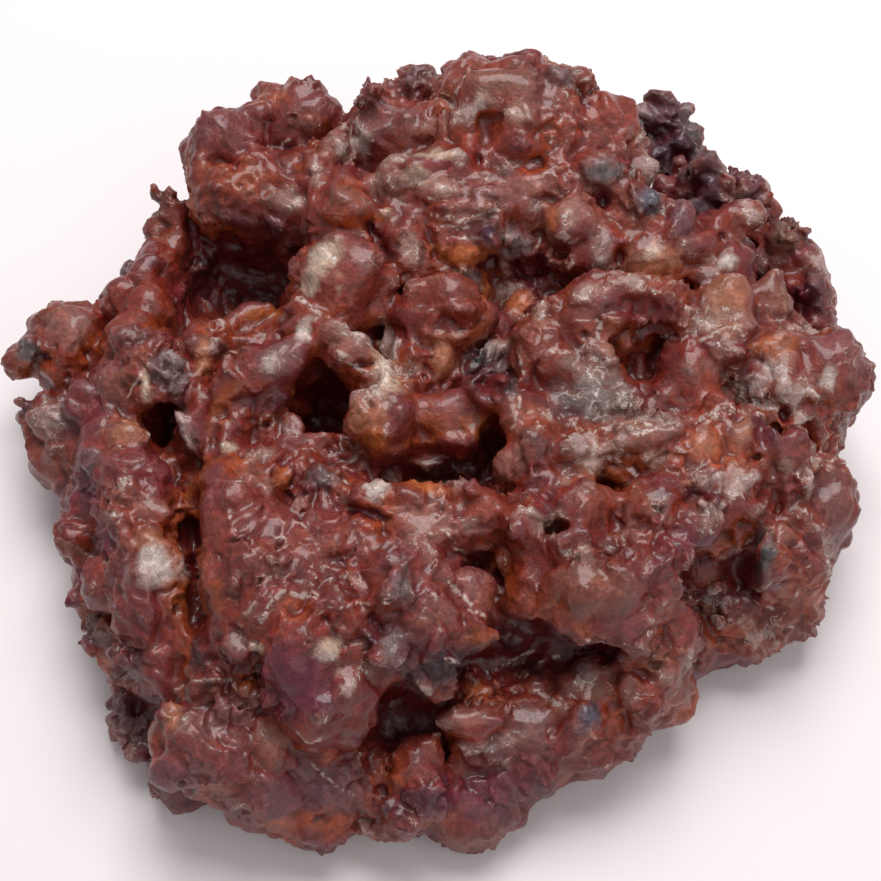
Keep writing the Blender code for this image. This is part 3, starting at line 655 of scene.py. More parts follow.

# Patches of colour: x, y, width, height, turn, colour and strength. Besides stains, glaze and scorch they
# hold painted shade (the dark patches in pits, holes, gaps, trenches and under lumps), painted highlights and
# painted glow.
PATCHES = {
    "knob blue": (237, 112, 10, 6, 0, BLUE, 0.8),
    "knob amber": (240, 158, 20, 9, -30, AMBER, 0.9),
    "knob maroon": (215, 150, 12, 10, -25, WINE, 0.7),
    "knob tip orange": (257, 100, 9, 9, 0, ORANGE, 0.8),
    "knob red": (285, 108, 12, 8, -20, DEEP_RED, 0.7),
    "knob pale": (303, 128, 12, 8, -30, PINK, 0.7),
    "knob pale west": (212, 127, 6, 10, 0, LILAC, 0.6),
    "knob orange east": (300, 165, 12, 8, 0, AMBER, 0.7),
    "ledge pale": (290, 200, 16, 14, -30, FILM, 0.8),
    # Painted shadow in the upper-left pit under the north-west knob.
    "pit upper left": (225, 270, 45, 34, 0, DARK, 0.85),
    "pit blue": (255, 278, 16, 12, 0, PURPLE, 0.8),
    "shelf orange": (162, 328, 16, 12, 0, AMBER, 0.8),
    "orange lump": (258, 315, 18, 9, 10, ORANGE, 0.9),
    "ball grey": (72, 335, 18, 16, 0, PINK, 0.8),
    "tip grey": (30, 350, 14, 14, 0, ASH, 0.9),
    "south lobe pale": (58, 420, 26, 16, -25, LILAC, 0.9),
    "finger pale": (92, 391, 14, 5, -20, LILAC, 0.8),
    "side knob grey": (92, 458, 11, 15, 0, ASH, 0.8),
    "west orange": (118, 392, 16, 22, 0, BROWN, 0.7),
    "west beige": (122, 430, 26, 16, 0, PEACH, 0.8),
    "sliver white": (146, 387, 4, 17, 8, CREAM, 0.9),
    "hood grey": (170, 372, 18, 16, 0, GREY, 0.85),
    "gap purple": (168, 408, 13, 18, 0, DARK, 0.9),
    "finger lilac": (188, 430, 8, 27, 22, LILAC, 0.8),
    "orange nodule": (172, 466, 14, 16, 20, AMBER, 0.9),
    "beige lump": (204, 356, 9, 20, 0, PEACH, 0.8),
    "mound amber": (232, 395, 16, 12, 30, AMBER, 0.85),
    "mound pale": (280, 360, 24, 14, 30, LILAC, 0.7),
    # A painted highlight on the mound.
    "mound highlight": (272, 364, 7, 9, -20, WHITE, 0.85),
    "fold amber": (218, 420, 10, 28, 0, AMBER, 0.9),
    "lilac lump": (292, 430, 12, 18, 14, LILAC, 0.8),
    "chips pale": (258, 455, 16, 9, 0, FILM, 0.75),
    "chip white": (228, 447, 9, 5, -10, CREAM, 0.8),
    "bead pink": (250, 478, 13, 13, 0, PINK, 0.6),
    "bead orange": (283, 478, 9, 11, 0, ORANGE, 0.9),
    "bead pale": (268, 485, 8, 9, 0, BEIGE, 0.7),
    "bead white": (302, 503, 8, 7, 0, CREAM, 0.8),
    "lump red": (240, 500, 14, 24, 8, RED, 0.7),
    "star patch": (282, 540, 16, 12, 0, FILM, 0.75),
    "star dark": (281, 543, 3, 3, 0, BLACK, 0.9),
    "knuckle grey": (150, 505, 24, 10, -10, PINK, 0.6),
    # A painted highlight on the south knuckle.
    "knuckle highlight": (163, 565, 10, 9, 0, WHITE, 0.9),
    "knuckle pink": (150, 540, 18, 10, 0, PEACH, 0.6),
    "wine": (85, 485, 16, 20, 0, WINE, 0.85),
    "wine low": (105, 540, 24, 16, 0, WINE, 0.8),
    "wine rose": (110, 600, 26, 34, 20, ROSE, 0.6),
    "wine side": (75, 590, 10, 24, 0, WINE, 0.6),
    "side grey": (60, 500, 10, 22, 0, VIOLET, 0.6),
    "crest grey": (108, 636, 11, 30, 38, GREY, 0.75),
    "crest grey low": (135, 672, 13, 8, -40, LILAC, 0.75),
    "column amber": (188, 580, 12, 40, 0, AMBER, 0.9),
    "column orange": (214, 600, 8, 24, 0, AMBER, 0.85),
    "column foot": (160, 640, 12, 14, 0, RED, 0.7),
    "gap maroon": (200, 650, 18, 22, 0, DARK, 0.85),
    "low crag": (140, 712, 30, 18, 0, PURPLE, 0.8),
    "low flap": (180, 770, 36, 24, 15, VIOLET, 0.7),
    "slab face": (225, 725, 40, 28, 0, MAUVE, 0.7),
    "slab left orange": (172, 712, 8, 16, 0, PEACH, 0.7),
    "slab rim orange": (250, 682, 22, 8, -10, AMBER, 0.7),
    # A painted highlight streak on the slab.
    "slab highlight": (183, 722, 4, 12, -25, FILM, 0.8),
    "slab right": (270, 745, 18, 24, 0, BROWN, 0.7),
    "bulb rose": (305, 665, 32, 36, 0, ROSE, 0.7),
    "bulb orange": (285, 630, 16, 10, 0, RED, 0.7),
    "bulb flake": (330, 648, 13, 9, 10, CREAM, 0.9),
    "bulb flake low": (340, 670, 6, 10, 10, FILM, 0.85),
    "bulb flake west": (312, 650, 6, 4, 20, FILM, 0.85),
    "grey mound": (235, 642, 13, 11, 0, GREY, 0.6),
    "white lump": (257, 648, 7, 7, 0, CREAM, 0.85),
    "nodule grey": (390, 636, 11, 13, 0, GREY, 0.8),
    "nodule white": (384, 657, 12, 9, 0, FILM, 0.8),
    "nodule black": (374, 632, 6, 12, 20, PURPLE, 0.8),
    "flap pale": (470, 590, 28, 12, -38, PINK, 0.6),
    "flap orange": (435, 612, 22, 16, 0, BROWN, 0.6),
    "under orange": (480, 634, 14, 11, 0, AMBER, 0.9),
    "slot black": (470, 655, 38, 10, 8, BLACK, 0.8),
    "pit red": (400, 690, 34, 28, 0, DARK, 0.85),
    "crisp orange": (474, 690, 20, 12, 0, BRIGHT, 0.85),
    "crisp pale": (465, 715, 28, 10, 0, PINK, 0.6),
    # A painted highlight on top of the ball.
    "ball highlight": (530, 712, 12, 6, -5, FILM, 0.9),
    "ball brown": (530, 735, 26, 24, 0, MAUVE, 0.7),
    "low knob pale": (425, 745, 20, 10, 0, PINK, 0.6),
    "low knob": (420, 770, 24, 22, 0, ROSE, 0.6),
    "grey drip": (472, 748, 22, 8, 0, LILAC, 0.85),
    "grey drip end": (500, 765, 7, 14, 35, LILAC, 0.8),
    "purple foot": (420, 800, 50, 16, 0, PURPLE, 0.7),
    "front mauve": (345, 790, 40, 28, 0, VIOLET, 0.6),
    "brown wall": (335, 745, 26, 26, 0, WINE, 0.6),
    "shelf blue": (590, 714, 13, 10, 15, BLUE, 0.8),
    "shelf orange 2": (593, 690, 13, 9, 0, BROWN, 0.7),
    "shelf pale": (590, 665, 24, 7, 0, GREY, 0.7),
    "shelf east grey": (630, 692, 11, 16, 0, GREY, 0.7),
    "end knob orange": (655, 662, 20, 10, 0, BROWN, 0.7),
    "end knob pale": (665, 675, 12, 8, 0, FILM, 0.8),
    "pocket amber": (698, 567, 26, 20, 0, AMBER, 0.95),
    "pocket dark": (738, 570, 12, 26, 0, DARK, 0.9),
    "cap grey": (703, 505, 14, 14, 0, ASH, 0.7),
    "cap maroon": (700, 540, 26, 10, 0, WINE, 0.6),
    "flake grey": (766, 553, 9, 24, -8, ASH, 0.9),
    "flake black": (757, 560, 4, 22, -8, BLACK, 0.95),
    "block beige": (700, 445, 22, 16, 0, PEACH, 0.7),
    "block grey": (702, 472, 20, 12, 0, LILAC, 0.75),
    "block edge": (692, 484, 14, 4, -15, PEACH, 0.8),
    "block shadow": (705, 497, 22, 7, -5, PURPLE, 0.8),
    "ridge orange": (742, 435, 10, 24, -30, PEACH, 0.7),
    "pit blue east": (763, 430, 9, 17, 10, PURPLE, 0.9),
    "pit red east": (785, 415, 7, 13, 15, MAROON, 0.9),
    # A painted highlight on the east lobe.
    "east lobe highlight": (828, 378, 7, 12, 0, WHITE, 0.9),
    "east pale": (790, 357, 11, 9, 20, PINK, 0.7),
    "east chip": (768, 358, 5, 4, 0, BEIGE, 0.8),
    "east root orange": (775, 345, 26, 12, 12, ORANGE, 0.7),
    "east olive": (850, 360, 14, 34, 0, MAUVE, 0.7),
    "south east olive": (835, 510, 20, 44, 0, MAUVE, 0.6),
    "south east violet": (812, 550, 16, 22, 20, ROSE, 0.7),
    "south east orange": (785, 535, 14, 14, 0, BROWN, 0.7),
    "east grey chip": (786, 466, 13, 8, -20, FILM, 0.8),
    "ring grey": (800, 472, 9, 8, 0, LILAC, 0.7),
    "pocket rim": (722, 600, 34, 4, 0, LILAC, 0.8),
    "dome red": (582, 330, 18, 16, 0, RED, 0.8),
    "dome pale": (585, 312, 16, 6, 0, PINK, 0.6),
    "basin red": (650, 312, 34, 16, 0, DEEP_RED, 0.9),
    "basin dark": (612, 305, 12, 8, 10, PURPLE, 0.9),
    "brown lump": (622, 335, 12, 20, 0, AMBER, 0.7),
    "rod red": (640, 370, 7, 34, 0, ROSE, 0.7),
    "lobe red": (682, 368, 28, 30, 10, DEEP_RED, 0.8),
    # Painted shade on the west side of the smooth lobe, by the basin.
    "lobe shaded side": (660, 360, 10, 22, 0, DEEP_RED, 0.8),
    "lobe pale": (718, 365, 14, 14, 0, PINK, 0.7),
    "peach": (726, 305, 24, 34, -12, PEACH, 0.8),
    "nub red": (737, 356, 9, 8, 0, DEEP_RED, 0.8),
    "arc grey": (745, 392, 22, 16, 30, LILAC, 0.7),
    "basin grey": (590, 395, 42, 24, 0, ASH, 0.85),
    "basin blue": (600, 385, 14, 16, 0, ASH, 0.8),
    "chain grey": (640, 416, 34, 9, -5, GREY, 0.85),
    "amber band": (640, 440, 46, 9, 12, BROWN, 0.7),
    "band patch": (652, 455, 18, 7, -5, BEIGE, 0.8),
    "pale streak": (590, 465, 34, 10, -30, BEIGE, 0.7),
    "bump white": (568, 216, 16, 16, 0, BEIGE, 0.85),
    "bump orange": (548, 230, 7, 22, 10, BROWN, 0.7),
    "grey bump": (600, 250, 12, 22, -10, GREY, 0.7),
    "amber spot": (620, 255, 8, 10, 0, AMBER, 0.95),
    "mass beige": (650, 262, 32, 16, 0, PEACH, 0.7),
    "cross white": (652, 252, 7, 10, 0, CREAM, 0.8),
    "frill white": (590, 290, 24, 10, 10, BEIGE, 0.7),
    "nodule orange": (520, 303, 13, 13, 0, BRIGHT, 0.9),
    "nodule peach": (540, 310, 7, 16, 0, BEIGE, 0.85),
    "pit purple": (530, 268, 22, 17, 0, PURPLE, 0.9),
    "mouth purple": (560, 250, 7, 8, 0, MAROON, 0.9),
    "crag black": (487, 235, 7, 24, 8, PURPLE, 0.9),
    "crag grey": (512, 240, 18, 18, 0, GREY, 0.85),
    "crag tip": (503, 264, 5, 10, 0, FILM, 0.85),
    "olive band": (525, 186, 34, 10, 8, PINK, 0.7),
    "eye grey": (507, 168, 11, 9, 0, GREY, 0.85),
    "grey dot": (535, 206, 6, 6, 0, GREY, 0.85),
    "grey cap": (600, 170, 19, 14, 0, ASH, 0.9),
    "black pit": (603, 197, 11, 12, 0, BLACK, 0.95),
    "grey bridge": (636, 178, 18, 7, 0, GREY, 0.85),
    "blue knob": (648, 200, 14, 13, 0, BLUE, 0.85),
    "violet lobe": (682, 218, 14, 18, 15, VIOLET, 0.8),
    "crag ne dark": (672, 150, 30, 36, -10, PURPLE, 0.85),
    "crag ne grey": (662, 113, 20, 10, 10, VIOLET, 0.85),
    "crag ne ridge": (690, 130, 9, 24, 10, ASH, 0.8),
    "crag ne low": (705, 200, 14, 36, 0, PURPLE, 0.8),
    "tooth dark": (742, 185, 22, 10, 0, WINE, 0.8),
    "tooth pale": (750, 210, 18, 9, 0, LILAC, 0.6),
    "rim orange": (740, 237, 22, 6, -5, BROWN, 0.6),
    "rim brown": (785, 238, 16, 14, 0, OLIVE, 0.7),
    # A painted highlight on a bead of the north-east rim.
    "rim bead highlight": (728, 262, 7, 8, 0, WHITE, 0.9),
    "bead pale rim": (710, 260, 9, 9, 0, FILM, 0.7),
    "bead pale far": (765, 258, 15, 15, 0, LILAC, 0.7),
    "groove purple": (800, 308, 10, 24, -8, PURPLE, 0.9),
    "rim lobe": (772, 300, 18, 30, 5, BROWN, 0.7),
    "rim far": (815, 282, 9, 22, 8, MAUVE, 0.7),
    "crown rose": (500, 80, 48, 18, 0, BROWN, 0.7),
    "crown mauve": (400, 115, 34, 16, 20, MAUVE, 0.7),
    "crown violet": (545, 100, 26, 26, -40, MAUVE, 0.6),
    "crown east": (595, 120, 44, 26, 0, BROWN, 0.8),
    "crown east pale": (590, 140, 24, 12, 0, PINK, 0.5),
    "crown beige": (517, 113, 13, 12, 0, BEIGE, 0.8),
    "crown beige dot": (480, 94, 7, 6, 0, BEIGE, 0.8),
    "crown grey": (463, 119, 7, 10, 0, GREY, 0.7),
    "crown amber": (488, 130, 10, 18, -10, AMBER, 0.9),
    "crown hole": (478, 157, 6, 8, 0, MAROON, 0.9),
    "crown lump red": (432, 130, 20, 10, 5, BROWN, 0.6),
    "glaze streak": (392, 158, 26, 8, 22, FILM, 0.85),
    "glaze streak east": (440, 154, 22, 6, -8, CREAM, 0.85),
    "glaze fork": (418, 176, 12, 10, 0, CREAM, 0.8),
    "glaze patch": (442, 188, 20, 10, 0, BEIGE, 0.7),
    "glaze west": (375, 182, 10, 10, 0, FILM, 0.7),
    "shoulder orange": (330, 145, 14, 26, -20, BROWN, 0.6),
    "shoulder white": (341, 152, 6, 13, 15, FILM, 0.7),
    "shoulder dot": (317, 172, 8, 14, 0, FILM, 0.7),
    "neck orange": (350, 200, 24, 16, 0, BROWN, 0.6),
    "shoulder hole": (357, 172, 7, 9, 20, MAROON, 0.85),
    "bump orange west": (385, 218, 14, 7, 0, AMBER, 0.8),
    "bump white west": (388, 212, 7, 5, 0, CREAM, 0.8),
    "gap maroon crown": (380, 240, 8, 26, 35, MAROON, 0.9),
    "lilac": (410, 250, 12, 18, 10, FILM, 0.85),
    "droplet red": (355, 290, 30, 18, 0, RED, 0.8),
    "droplet edge": (378, 255, 8, 24, 25, RED, 0.7),
    "droplet cream": (325, 256, 16, 13, 10, CREAM, 0.95),
    "droplet drip west": (310, 282, 9, 14, 10, CREAM, 0.95),
    "droplet drip east": (340, 284, 4, 12, 0, CREAM, 0.95),
    "droplet shine": (366, 266, 9, 10, -40, LILAC, 0.8),
    "fold pale": (465, 215, 30, 14, 0, PINK, 0.6),
    "fold red": (440, 235, 22, 8, 0, RED, 0.7),
    "band orange": (462, 254, 32, 9, -8, ORANGE, 0.9),
    "band orange down": (484, 288, 8, 28, -10, ORANGE, 0.9),
    "crag cap grey": (463, 284, 18, 15, 10, FILM, 0.85),
    "crag red": (420, 292, 14, 16, 0, RED, 0.7),
    # Painted shade, then painted orange glow, under the grey crag cap.
    "under red": (420, 328, 40, 16, 0, DEEP_RED, 0.9),
    "under amber": (468, 322, 14, 11, 0, AMBER, 0.95),
    "star white": (303, 335, 7, 10, 0, WHITE, 0.9),
    "web pale": (345, 340, 30, 12, -20, PINK, 0.7),
    "web knot": (388, 345, 9, 18, 10, FILM, 0.85),
    "red slit": (365, 362, 14, 4, 5, DEEP_RED, 0.85),
    "web film": (370, 392, 24, 16, 0, FILM, 0.7),
    "web block": (368, 415, 20, 22, 0, PEACH, 0.7),
    "pit deep": (322, 388, 19, 34, 0, DARK, 0.95),
    "pit wine": (270, 400, 40, 12, 0, MAROON, 0.9),
    "block pink": (442, 355, 13, 22, 0, PEACH, 0.8),
    "triangle": (412, 368, 12, 9, 0, FILM, 0.8),
    "knob red 2": (447, 410, 36, 20, -5, RED, 0.8),
    "knob shine": (455, 405, 8, 7, 0, LILAC, 0.6),
    "knob amber 2": (478, 425, 13, 10, 20, ORANGE, 0.8),
    # Painted shade in the cavity of the black crag.
    "crag cavity shade middle": (490, 372, 22, 22, -20, DARK, 0.9),
    "crag cap mid": (492, 347, 14, 9, 0, FILM, 0.9),
    # Painted shade under the oval knob.
    "under knob": (450, 468, 50, 16, 0, DARK, 0.9),
    "under knob amber": (370, 445, 18, 18, 0, AMBER, 0.95),
    "under knob red": (410, 450, 18, 14, 0, DEEP_RED, 0.8),
    "ridge pale": (518, 400, 5, 50, 0, PINK, 0.6),
    "ridge lobe": (512, 462, 16, 22, -45, PINK, 0.7),
    "crumbs grey": (462, 482, 18, 7, 0, FILM, 0.8),
    "shoulder facet": (373, 490, 7, 14, 0, WHITE, 0.9),
    "shoulder lobe": (390, 475, 14, 12, 0, PINK, 0.6),
    "arch orange": (428, 486, 26, 7, -18, ORANGE, 0.8),
    "slot maroon": (365, 512, 24, 7, -15, WINE, 0.85),
    "swirl grey": (325, 480, 20, 9, 0, ASH, 0.85),
    "bead red": (328, 508, 12, 16, 0, RED, 0.8),
    "slab fuzzy": (420, 525, 32, 26, 0, PINK, 0.7),
    "rose red": (485, 505, 28, 22, 0, RED, 0.7),
    "rose patch": (468, 524, 12, 8, 0, FILM, 0.85),
    "hole red": (548, 502, 16, 14, 0, MAROON, 0.9),
    "hole low": (480, 562, 11, 12, 0, MAROON, 0.9),
    "window grey": (537, 468, 5, 6, 0, GREY, 0.8),
    "white patch": (566, 475, 7, 16, 0, FILM, 0.8),
    "white wedge": (548, 525, 6, 10, 0, FILM, 0.8),
    "pale chip": (585, 555, 10, 10, 0, FILM, 0.8),
    "fold brown": (600, 590, 44, 26, -10, BROWN, 0.6),
    "lilac rib": (630, 522, 5, 20, 10, PINK, 0.8),
    "spot grey": (658, 506, 12, 10, 0, GREY, 0.7),
    "spot dot": (655, 507, 2.5, 2.5, 0, DARK, 0.9),
    "maroon fold": (560, 635, 60, 20, -15, MAROON, 0.85),
    "grey swirl": (400, 585, 16, 22, 0, ASH, 0.6),
    "shoulder red": (596, 128, 54, 38, 35, RED, 0.95),
    # Painted shade on the floor of the front trench and in the hole below it, and a painted glint.
    "front trench": (545, 645, 84, 27, 8, DARK, 1),
    "front trench west": (445, 668, 48, 18, 15, DARK, 1),
    "front trench east": (610, 655, 30, 14, 0, PURPLE, 0.6),
    "front hole": (400, 716, 18, 20, 0, DARK, 0.8),
    "front trench glint": (560, 628, 20, 6, 10, ROSE, 0.5),
    "left trench": (200, 560, 24, 70, 4, AMBER, 0.95),
    "left trench high": (196, 490, 18, 34, 0, AMBER, 0.85),
    "left trench low": (214, 645, 16, 36, 8, DEEP_RED, 0.8),
    "left trench core": (200, 600, 5, 40, 5, DARK, 0.8),
    "left trench side": (174, 590, 14, 50, 5, AMBER, 0.75),
    "knob glow": (228, 158, 26, 14, -10, AMBER, 0.7),
    "knob glow east": (300, 150, 22, 10, 0, AMBER, 0.6),
    # Painted shade and shadow under the north-west knob and in the pit below it.
    "knob shade": (250, 215, 46, 12, -8, MAROON, 0.6),
    "knob shadow": (300, 240, 44, 10, -20, DARK, 0.6),
    "pit shade": (248, 285, 46, 34, -15, DARK, 0.7),
    "bulb red": (300, 680, 40, 34, 0, WINE, 0.8),
    "mass brown": (300, 560, 60, 30, 0, ROSE, 0.4),
    "lobe brown": (90, 440, 30, 40, 0, ROSE, 0.4),
    "flap brown": (450, 580, 40, 40, 0, ROSE, 0.4),
    # Painted shade under the grey crag cap.
    "crag under": (445, 316, 36, 15, 0, DEEP_RED, 0.8),
    # Painted shade in the cavity of the black crag.
    "crag cavity shade wide": (494, 376, 30, 26, -15, DARK, 0.9),
    "crag crest": (490, 345, 24, 8, -5, FILM, 0.8),
    "basin shade": (662, 352, 22, 44, 0, DEEP_RED, 0.7),
    "basin floor": (702, 400, 30, 22, 0, RED, 0.7),
    "basin brow": (642, 305, 36, 10, 0, MAROON, 0.8),
    "amber band 2": (465, 258, 28, 8, 10, ORANGE, 0.8),
    "orange side": (552, 216, 6, 22, 0, ORANGE, 0.8),
    "red west": (398, 212, 14, 16, 0, DEEP_RED, 0.7),
    "basin orange": (610, 338, 12, 24, 0, AMBER, 0.7),
    "amber pocket": (697, 567, 24, 26, 0, AMBER, 0.9),
    "knob belly": (440, 428, 40, 14, 0, AMBER, 0.7),
    "pocket glow": (455, 450, 34, 8, 0, DEEP_RED, 0.8),
    "knob red 3": (262, 140, 54, 40, 0, DEEP_RED, 0.7),
    "knob red east": (335, 112, 30, 26, 0, ROSE, 0.7),
    "mass red": (290, 520, 70, 40, 0, ROSE, 0.6),
    "left red": (84, 430, 40, 44, 0, WINE, 0.5),
    "web white": (386, 368, 15, 34, 5, CREAM, 0.9),
    "web spark": (304, 330, 9, 12, -20, WHITE, 1),
    "slot spark": (376, 488, 12, 9, 0, WHITE, 0.9),
    "web rim": (352, 334, 30, 7, -30, FILM, 0.8),
    "crown smear": (430, 186, 34, 12, -10, FILM, 0.5),
    "crown smear east": (500, 196, 34, 10, 0, LILAC, 0.4),
    "crown smear west": (392, 180, 12, 20, 20, FILM, 0.5),
    "plateau smear": (596, 360, 34, 20, 0, FILM, 0.7),
    "plateau smear low": (650, 424, 46, 8, 0, FILM, 0.7),
    "plateau smear east": (742, 396, 26, 14, -30, FILM, 0.7),
    "east smear": (712, 320, 30, 10, 10, FILM, 0.6),
    "lobe smear": (806, 384, 16, 14, 0, FILM, 0.4),
    "flap smear": (600, 450, 30, 14, 20, FILM, 0.6),
    "flap window": (548, 520, 20, 16, 0, FILM, 0.6),
    "side smear": (182, 565, 14, 12, 0, WHITE, 0.8),
    "bulb smear": (328, 655, 8, 6, 0, WHITE, 0.8),
    "shelf smear": (500, 742, 30, 8, 15, FILM, 0.8),
    "bulb shade": (290, 700, 34, 26, 0, WINE, 0.6),
    "north lobe grey": (62, 322, 24, 18, 0, PINK, 0.6),
    "south lobe grey": (52, 415, 24, 18, 0, GREY, 0.7),
    "droplet red 2": (356, 286, 26, 24, 0, RED, 0.85),
    "droplet cream 2": (322, 262, 13, 14, 0, CREAM, 1),
    "cap grey 2": (468, 276, 17, 9, 0, FILM, 0.8),
    "basin lilac": (600, 392, 42, 16, 0, GREY, 0.6),
    # Painted shade in the cavity of the black crag.
    "crag cavity shade core": (498, 378, 18, 18, 0, BLACK, 1),
    "amber drip": (378, 440, 12, 12, 0, ORANGE, 0.9),
    "knob glow low": (250, 182, 30, 14, 0, AMBER, 0.6),
    # Painted shadow in the upper-left pit.
    "pit shadow": (255, 270, 34, 24, -15, DARK, 0.8),
    "slot dark": (365, 512, 24, 7, -15, DARK, 0.8),
    "hole dark": (545, 502, 14, 14, 0, DARK, 0.8),
    "hole low dark": (480, 560, 13, 13, 0, DARK, 0.9),
    "shelf blue 2": (588, 722, 18, 14, 0, BLUE, 0.6),
    "lower violet": (300, 790, 60, 26, 0, VIOLET, 0.6),
    "lower violet east": (480, 790, 50, 26, 0, WINE, 0.7),
    "crag mid pale": (590, 205, 44, 22, 0, PINK, 0.55),
    "east amber": (780, 205, 30, 14, 30, ROSE, 0.5),
    # A painted highlight on the west face.
    "west face highlight": (155, 565, 14, 20, 10, WHITE, 0.9),
    "west face blue": (88, 500, 8, 30, 0, VIOLET, 0.6),
    "flap dark": (460, 560, 50, 24, 0, ROSE, 0.5),
    # Painted orange glow under the grey crag cap.
    "amber pool": (455, 325, 34, 20, 0, AMBER, 0.7),
    "amber pool low": (420, 440, 26, 26, 0, AMBER, 0.6),
    # Painted shade in the cavity of the black crag.
    "crag cavity shade edge": (480, 358, 14, 12, 0, BLACK, 1),
    "NW knob red": (258, 130, 44, 34, 0, ROSE, 0.6),
}
# The finer skin, in mm.
SKIN_GRAIN = 0.5
CRUMB_SEED = 5
SKIN_SMOOTHING = 1
LUMP_GRAIN_FINE = 0.7
LUMP_BLEND = 5
CRUST_TRIANGLES = 196000
# How deep a lump is for its least width, and the width in mm below which it is 1 mm deep.
DEPTH_SHARE = 0.85
SMALLEST_LUMP = 1.2
# A mark just off the solid's rim slides towards the middle by these shares until it meets the solid.
RIM_STEPS = [0.01 * share for share in range(16)]

class Dough:
    """Lumps of dough that one skin is drawn round later on."""

    def __init__(self):
        bm = bmesh.new()
        bmesh.ops.create_icosphere(bm, subdivisions=3, radius=1.0)
        self.ball_points = [vertex.co.copy() for vertex in bm.verts]
        self.ball_faces = [[vertex.index for vertex in face.verts] for face in bm.faces]
        bm.free()
        self.points = []
        self.faces = []

    def add_lump(self, x, y, z, across, deep, tall, turn):
        """An ellipsoid with an uneven skin, which differs with its place."""
        place = Vector((x, y, z))
        matrix = (
            Matrix.Translation(place)
            @ Matrix.Rotation(turn * DEGREE, 4, "Z")
            @ Matrix.Diagonal((across, deep, tall, 1.0))
        )
        first = len(self.points)
        for point in self.ball_points:
            bump = noise.noise(point * LUMP_GRAIN + place)
            self.points.append(matrix @ (point * (1.0 + LUMPINESS * bump)))
        self.faces.extend([first + corner for corner in face] for face in self.ball_faces)

    def add_knobs(self, draw, x, y, z, across, deep, tall, turn):
        """Small knobs here and there on the upper skin of a lump."""
        place = Vector((x, y, z))
        spin = Matrix.Rotation(turn * DEGREE, 4, "Z")
        for _ in range(KNOBS):
            way = Vector((draw.gauss(0, 1), draw.gauss(0, 1), abs(draw.gauss(0, 1)))).normalized()
            spot = place + spin @ Vector((way.x * across, way.y * deep, way.z * tall)) * KNOB_DEPTH
            size = draw.uniform(*KNOB_SIZE)
            shape = [size * draw.uniform(0.8, 1.2) for _ in range(3)]
            self.add_lump(*spot, *shape, 0)

    def skin(self, name, grain):
        """One closed mesh round all the lumps."""
        mesh = bpy.data.meshes.new(name)
        mesh.from_pydata(self.points, [], self.faces)
        obj = bpy.data.objects.new(name, mesh)
        bpy.context.scene.collection.objects.link(obj)
        draw_skin(obj, grain)
        return obj


def draw_skin(obj, grain):
    """Draws a new skin, of faces this wide, round all that the object holds."""
    remesh = obj.modifiers.new("skin", "REMESH")
    remesh.mode = "VOXEL"
    remesh.voxel_size = grain
    apply_modifiers(obj)


def apply_modifiers(obj):
    graph = bpy.context.evaluated_depsgraph_get()
    made = bpy.data.meshes.new_from_object(obj.evaluated_get(graph))
    obj.modifiers.clear()
    old, obj.data = obj.data, made
    bpy.data.meshes.remove(old)


def roughen(mesh):
    """Crags of two sizes: rounded swellings with sharp creases between them."""
    moves = []
    for vertex in mesh.vertices:
        amount = sum(high * (abs(noise.noise(vertex.co / wide)) - CRAG_SINK) for wide, high in CRAGS)
        moves.append(vertex.normal * amount)
    for vertex, move in zip(mesh.vertices, moves):
        vertex.co += move


def positions(mesh):
    out = np.empty(len(mesh.vertices) * 3, np.float32)
    mesh.vertices.foreach_get("co", out)
    return out.reshape(-1, 3)


def normals(mesh):
    out = np.empty(len(mesh.vertices) * 3, np.float32)
    mesh.vertices.foreach_get("normal", out)
    return out.reshape(-1, 3)


def set_positions(mesh, points):
    mesh.vertices.foreach_set("co", np.ascontiguousarray(points, np.float32).ravel())
    mesh.update()


def scramble(x, y, z, seed):
    """A whole number that looks random for each cell of a grid."""
    h = (x * 374761393 + y * 668265263 + z * 1440662683 + seed * 1274126177) & 0xFFFFFFFF
    h = ((h ^ (h >> 13)) * 1103515245) & 0xFFFFFFFF
    h = ((h ^ (h >> 15)) * 668265263) & 0xFFFFFFFF
    return h ^ (h >> 16)


def waves(points, size, seed=0):
    """Smooth noise from about -1 to 1 at points, with lumps about this size."""
    p = points / size
    cell = np.floor(p).astype(np.int64)
    f = p - cell
    u = f * f * f * (f * (f * 6 - 15) + 10)
    total = np.zeros(len(p))
    for dx in (0, 1):
        wx = u[:, 0] if dx else 1 - u[:, 0]
        for dy in (0, 1):
            wy = u[:, 1] if dy else 1 - u[:, 1]
            for dz in (0, 1):
                wz = u[:, 2] if dz else 1 - u[:, 2]
                h = scramble(cell[:, 0] + dx, cell[:, 1] + dy, cell[:, 2] + dz, seed)
                gx = ((h & 1023) / 511.5) - 1
                gy = (((h >> 10) & 1023) / 511.5) - 1
                gz = (((h >> 20) & 1023) / 511.5) - 1
                slope = gx * (f[:, 0] - dx) + gy * (f[:, 1] - dy) + gz * (f[:, 2] - dz)
                total += wx * wy * wz * slope
    return total * 1.5


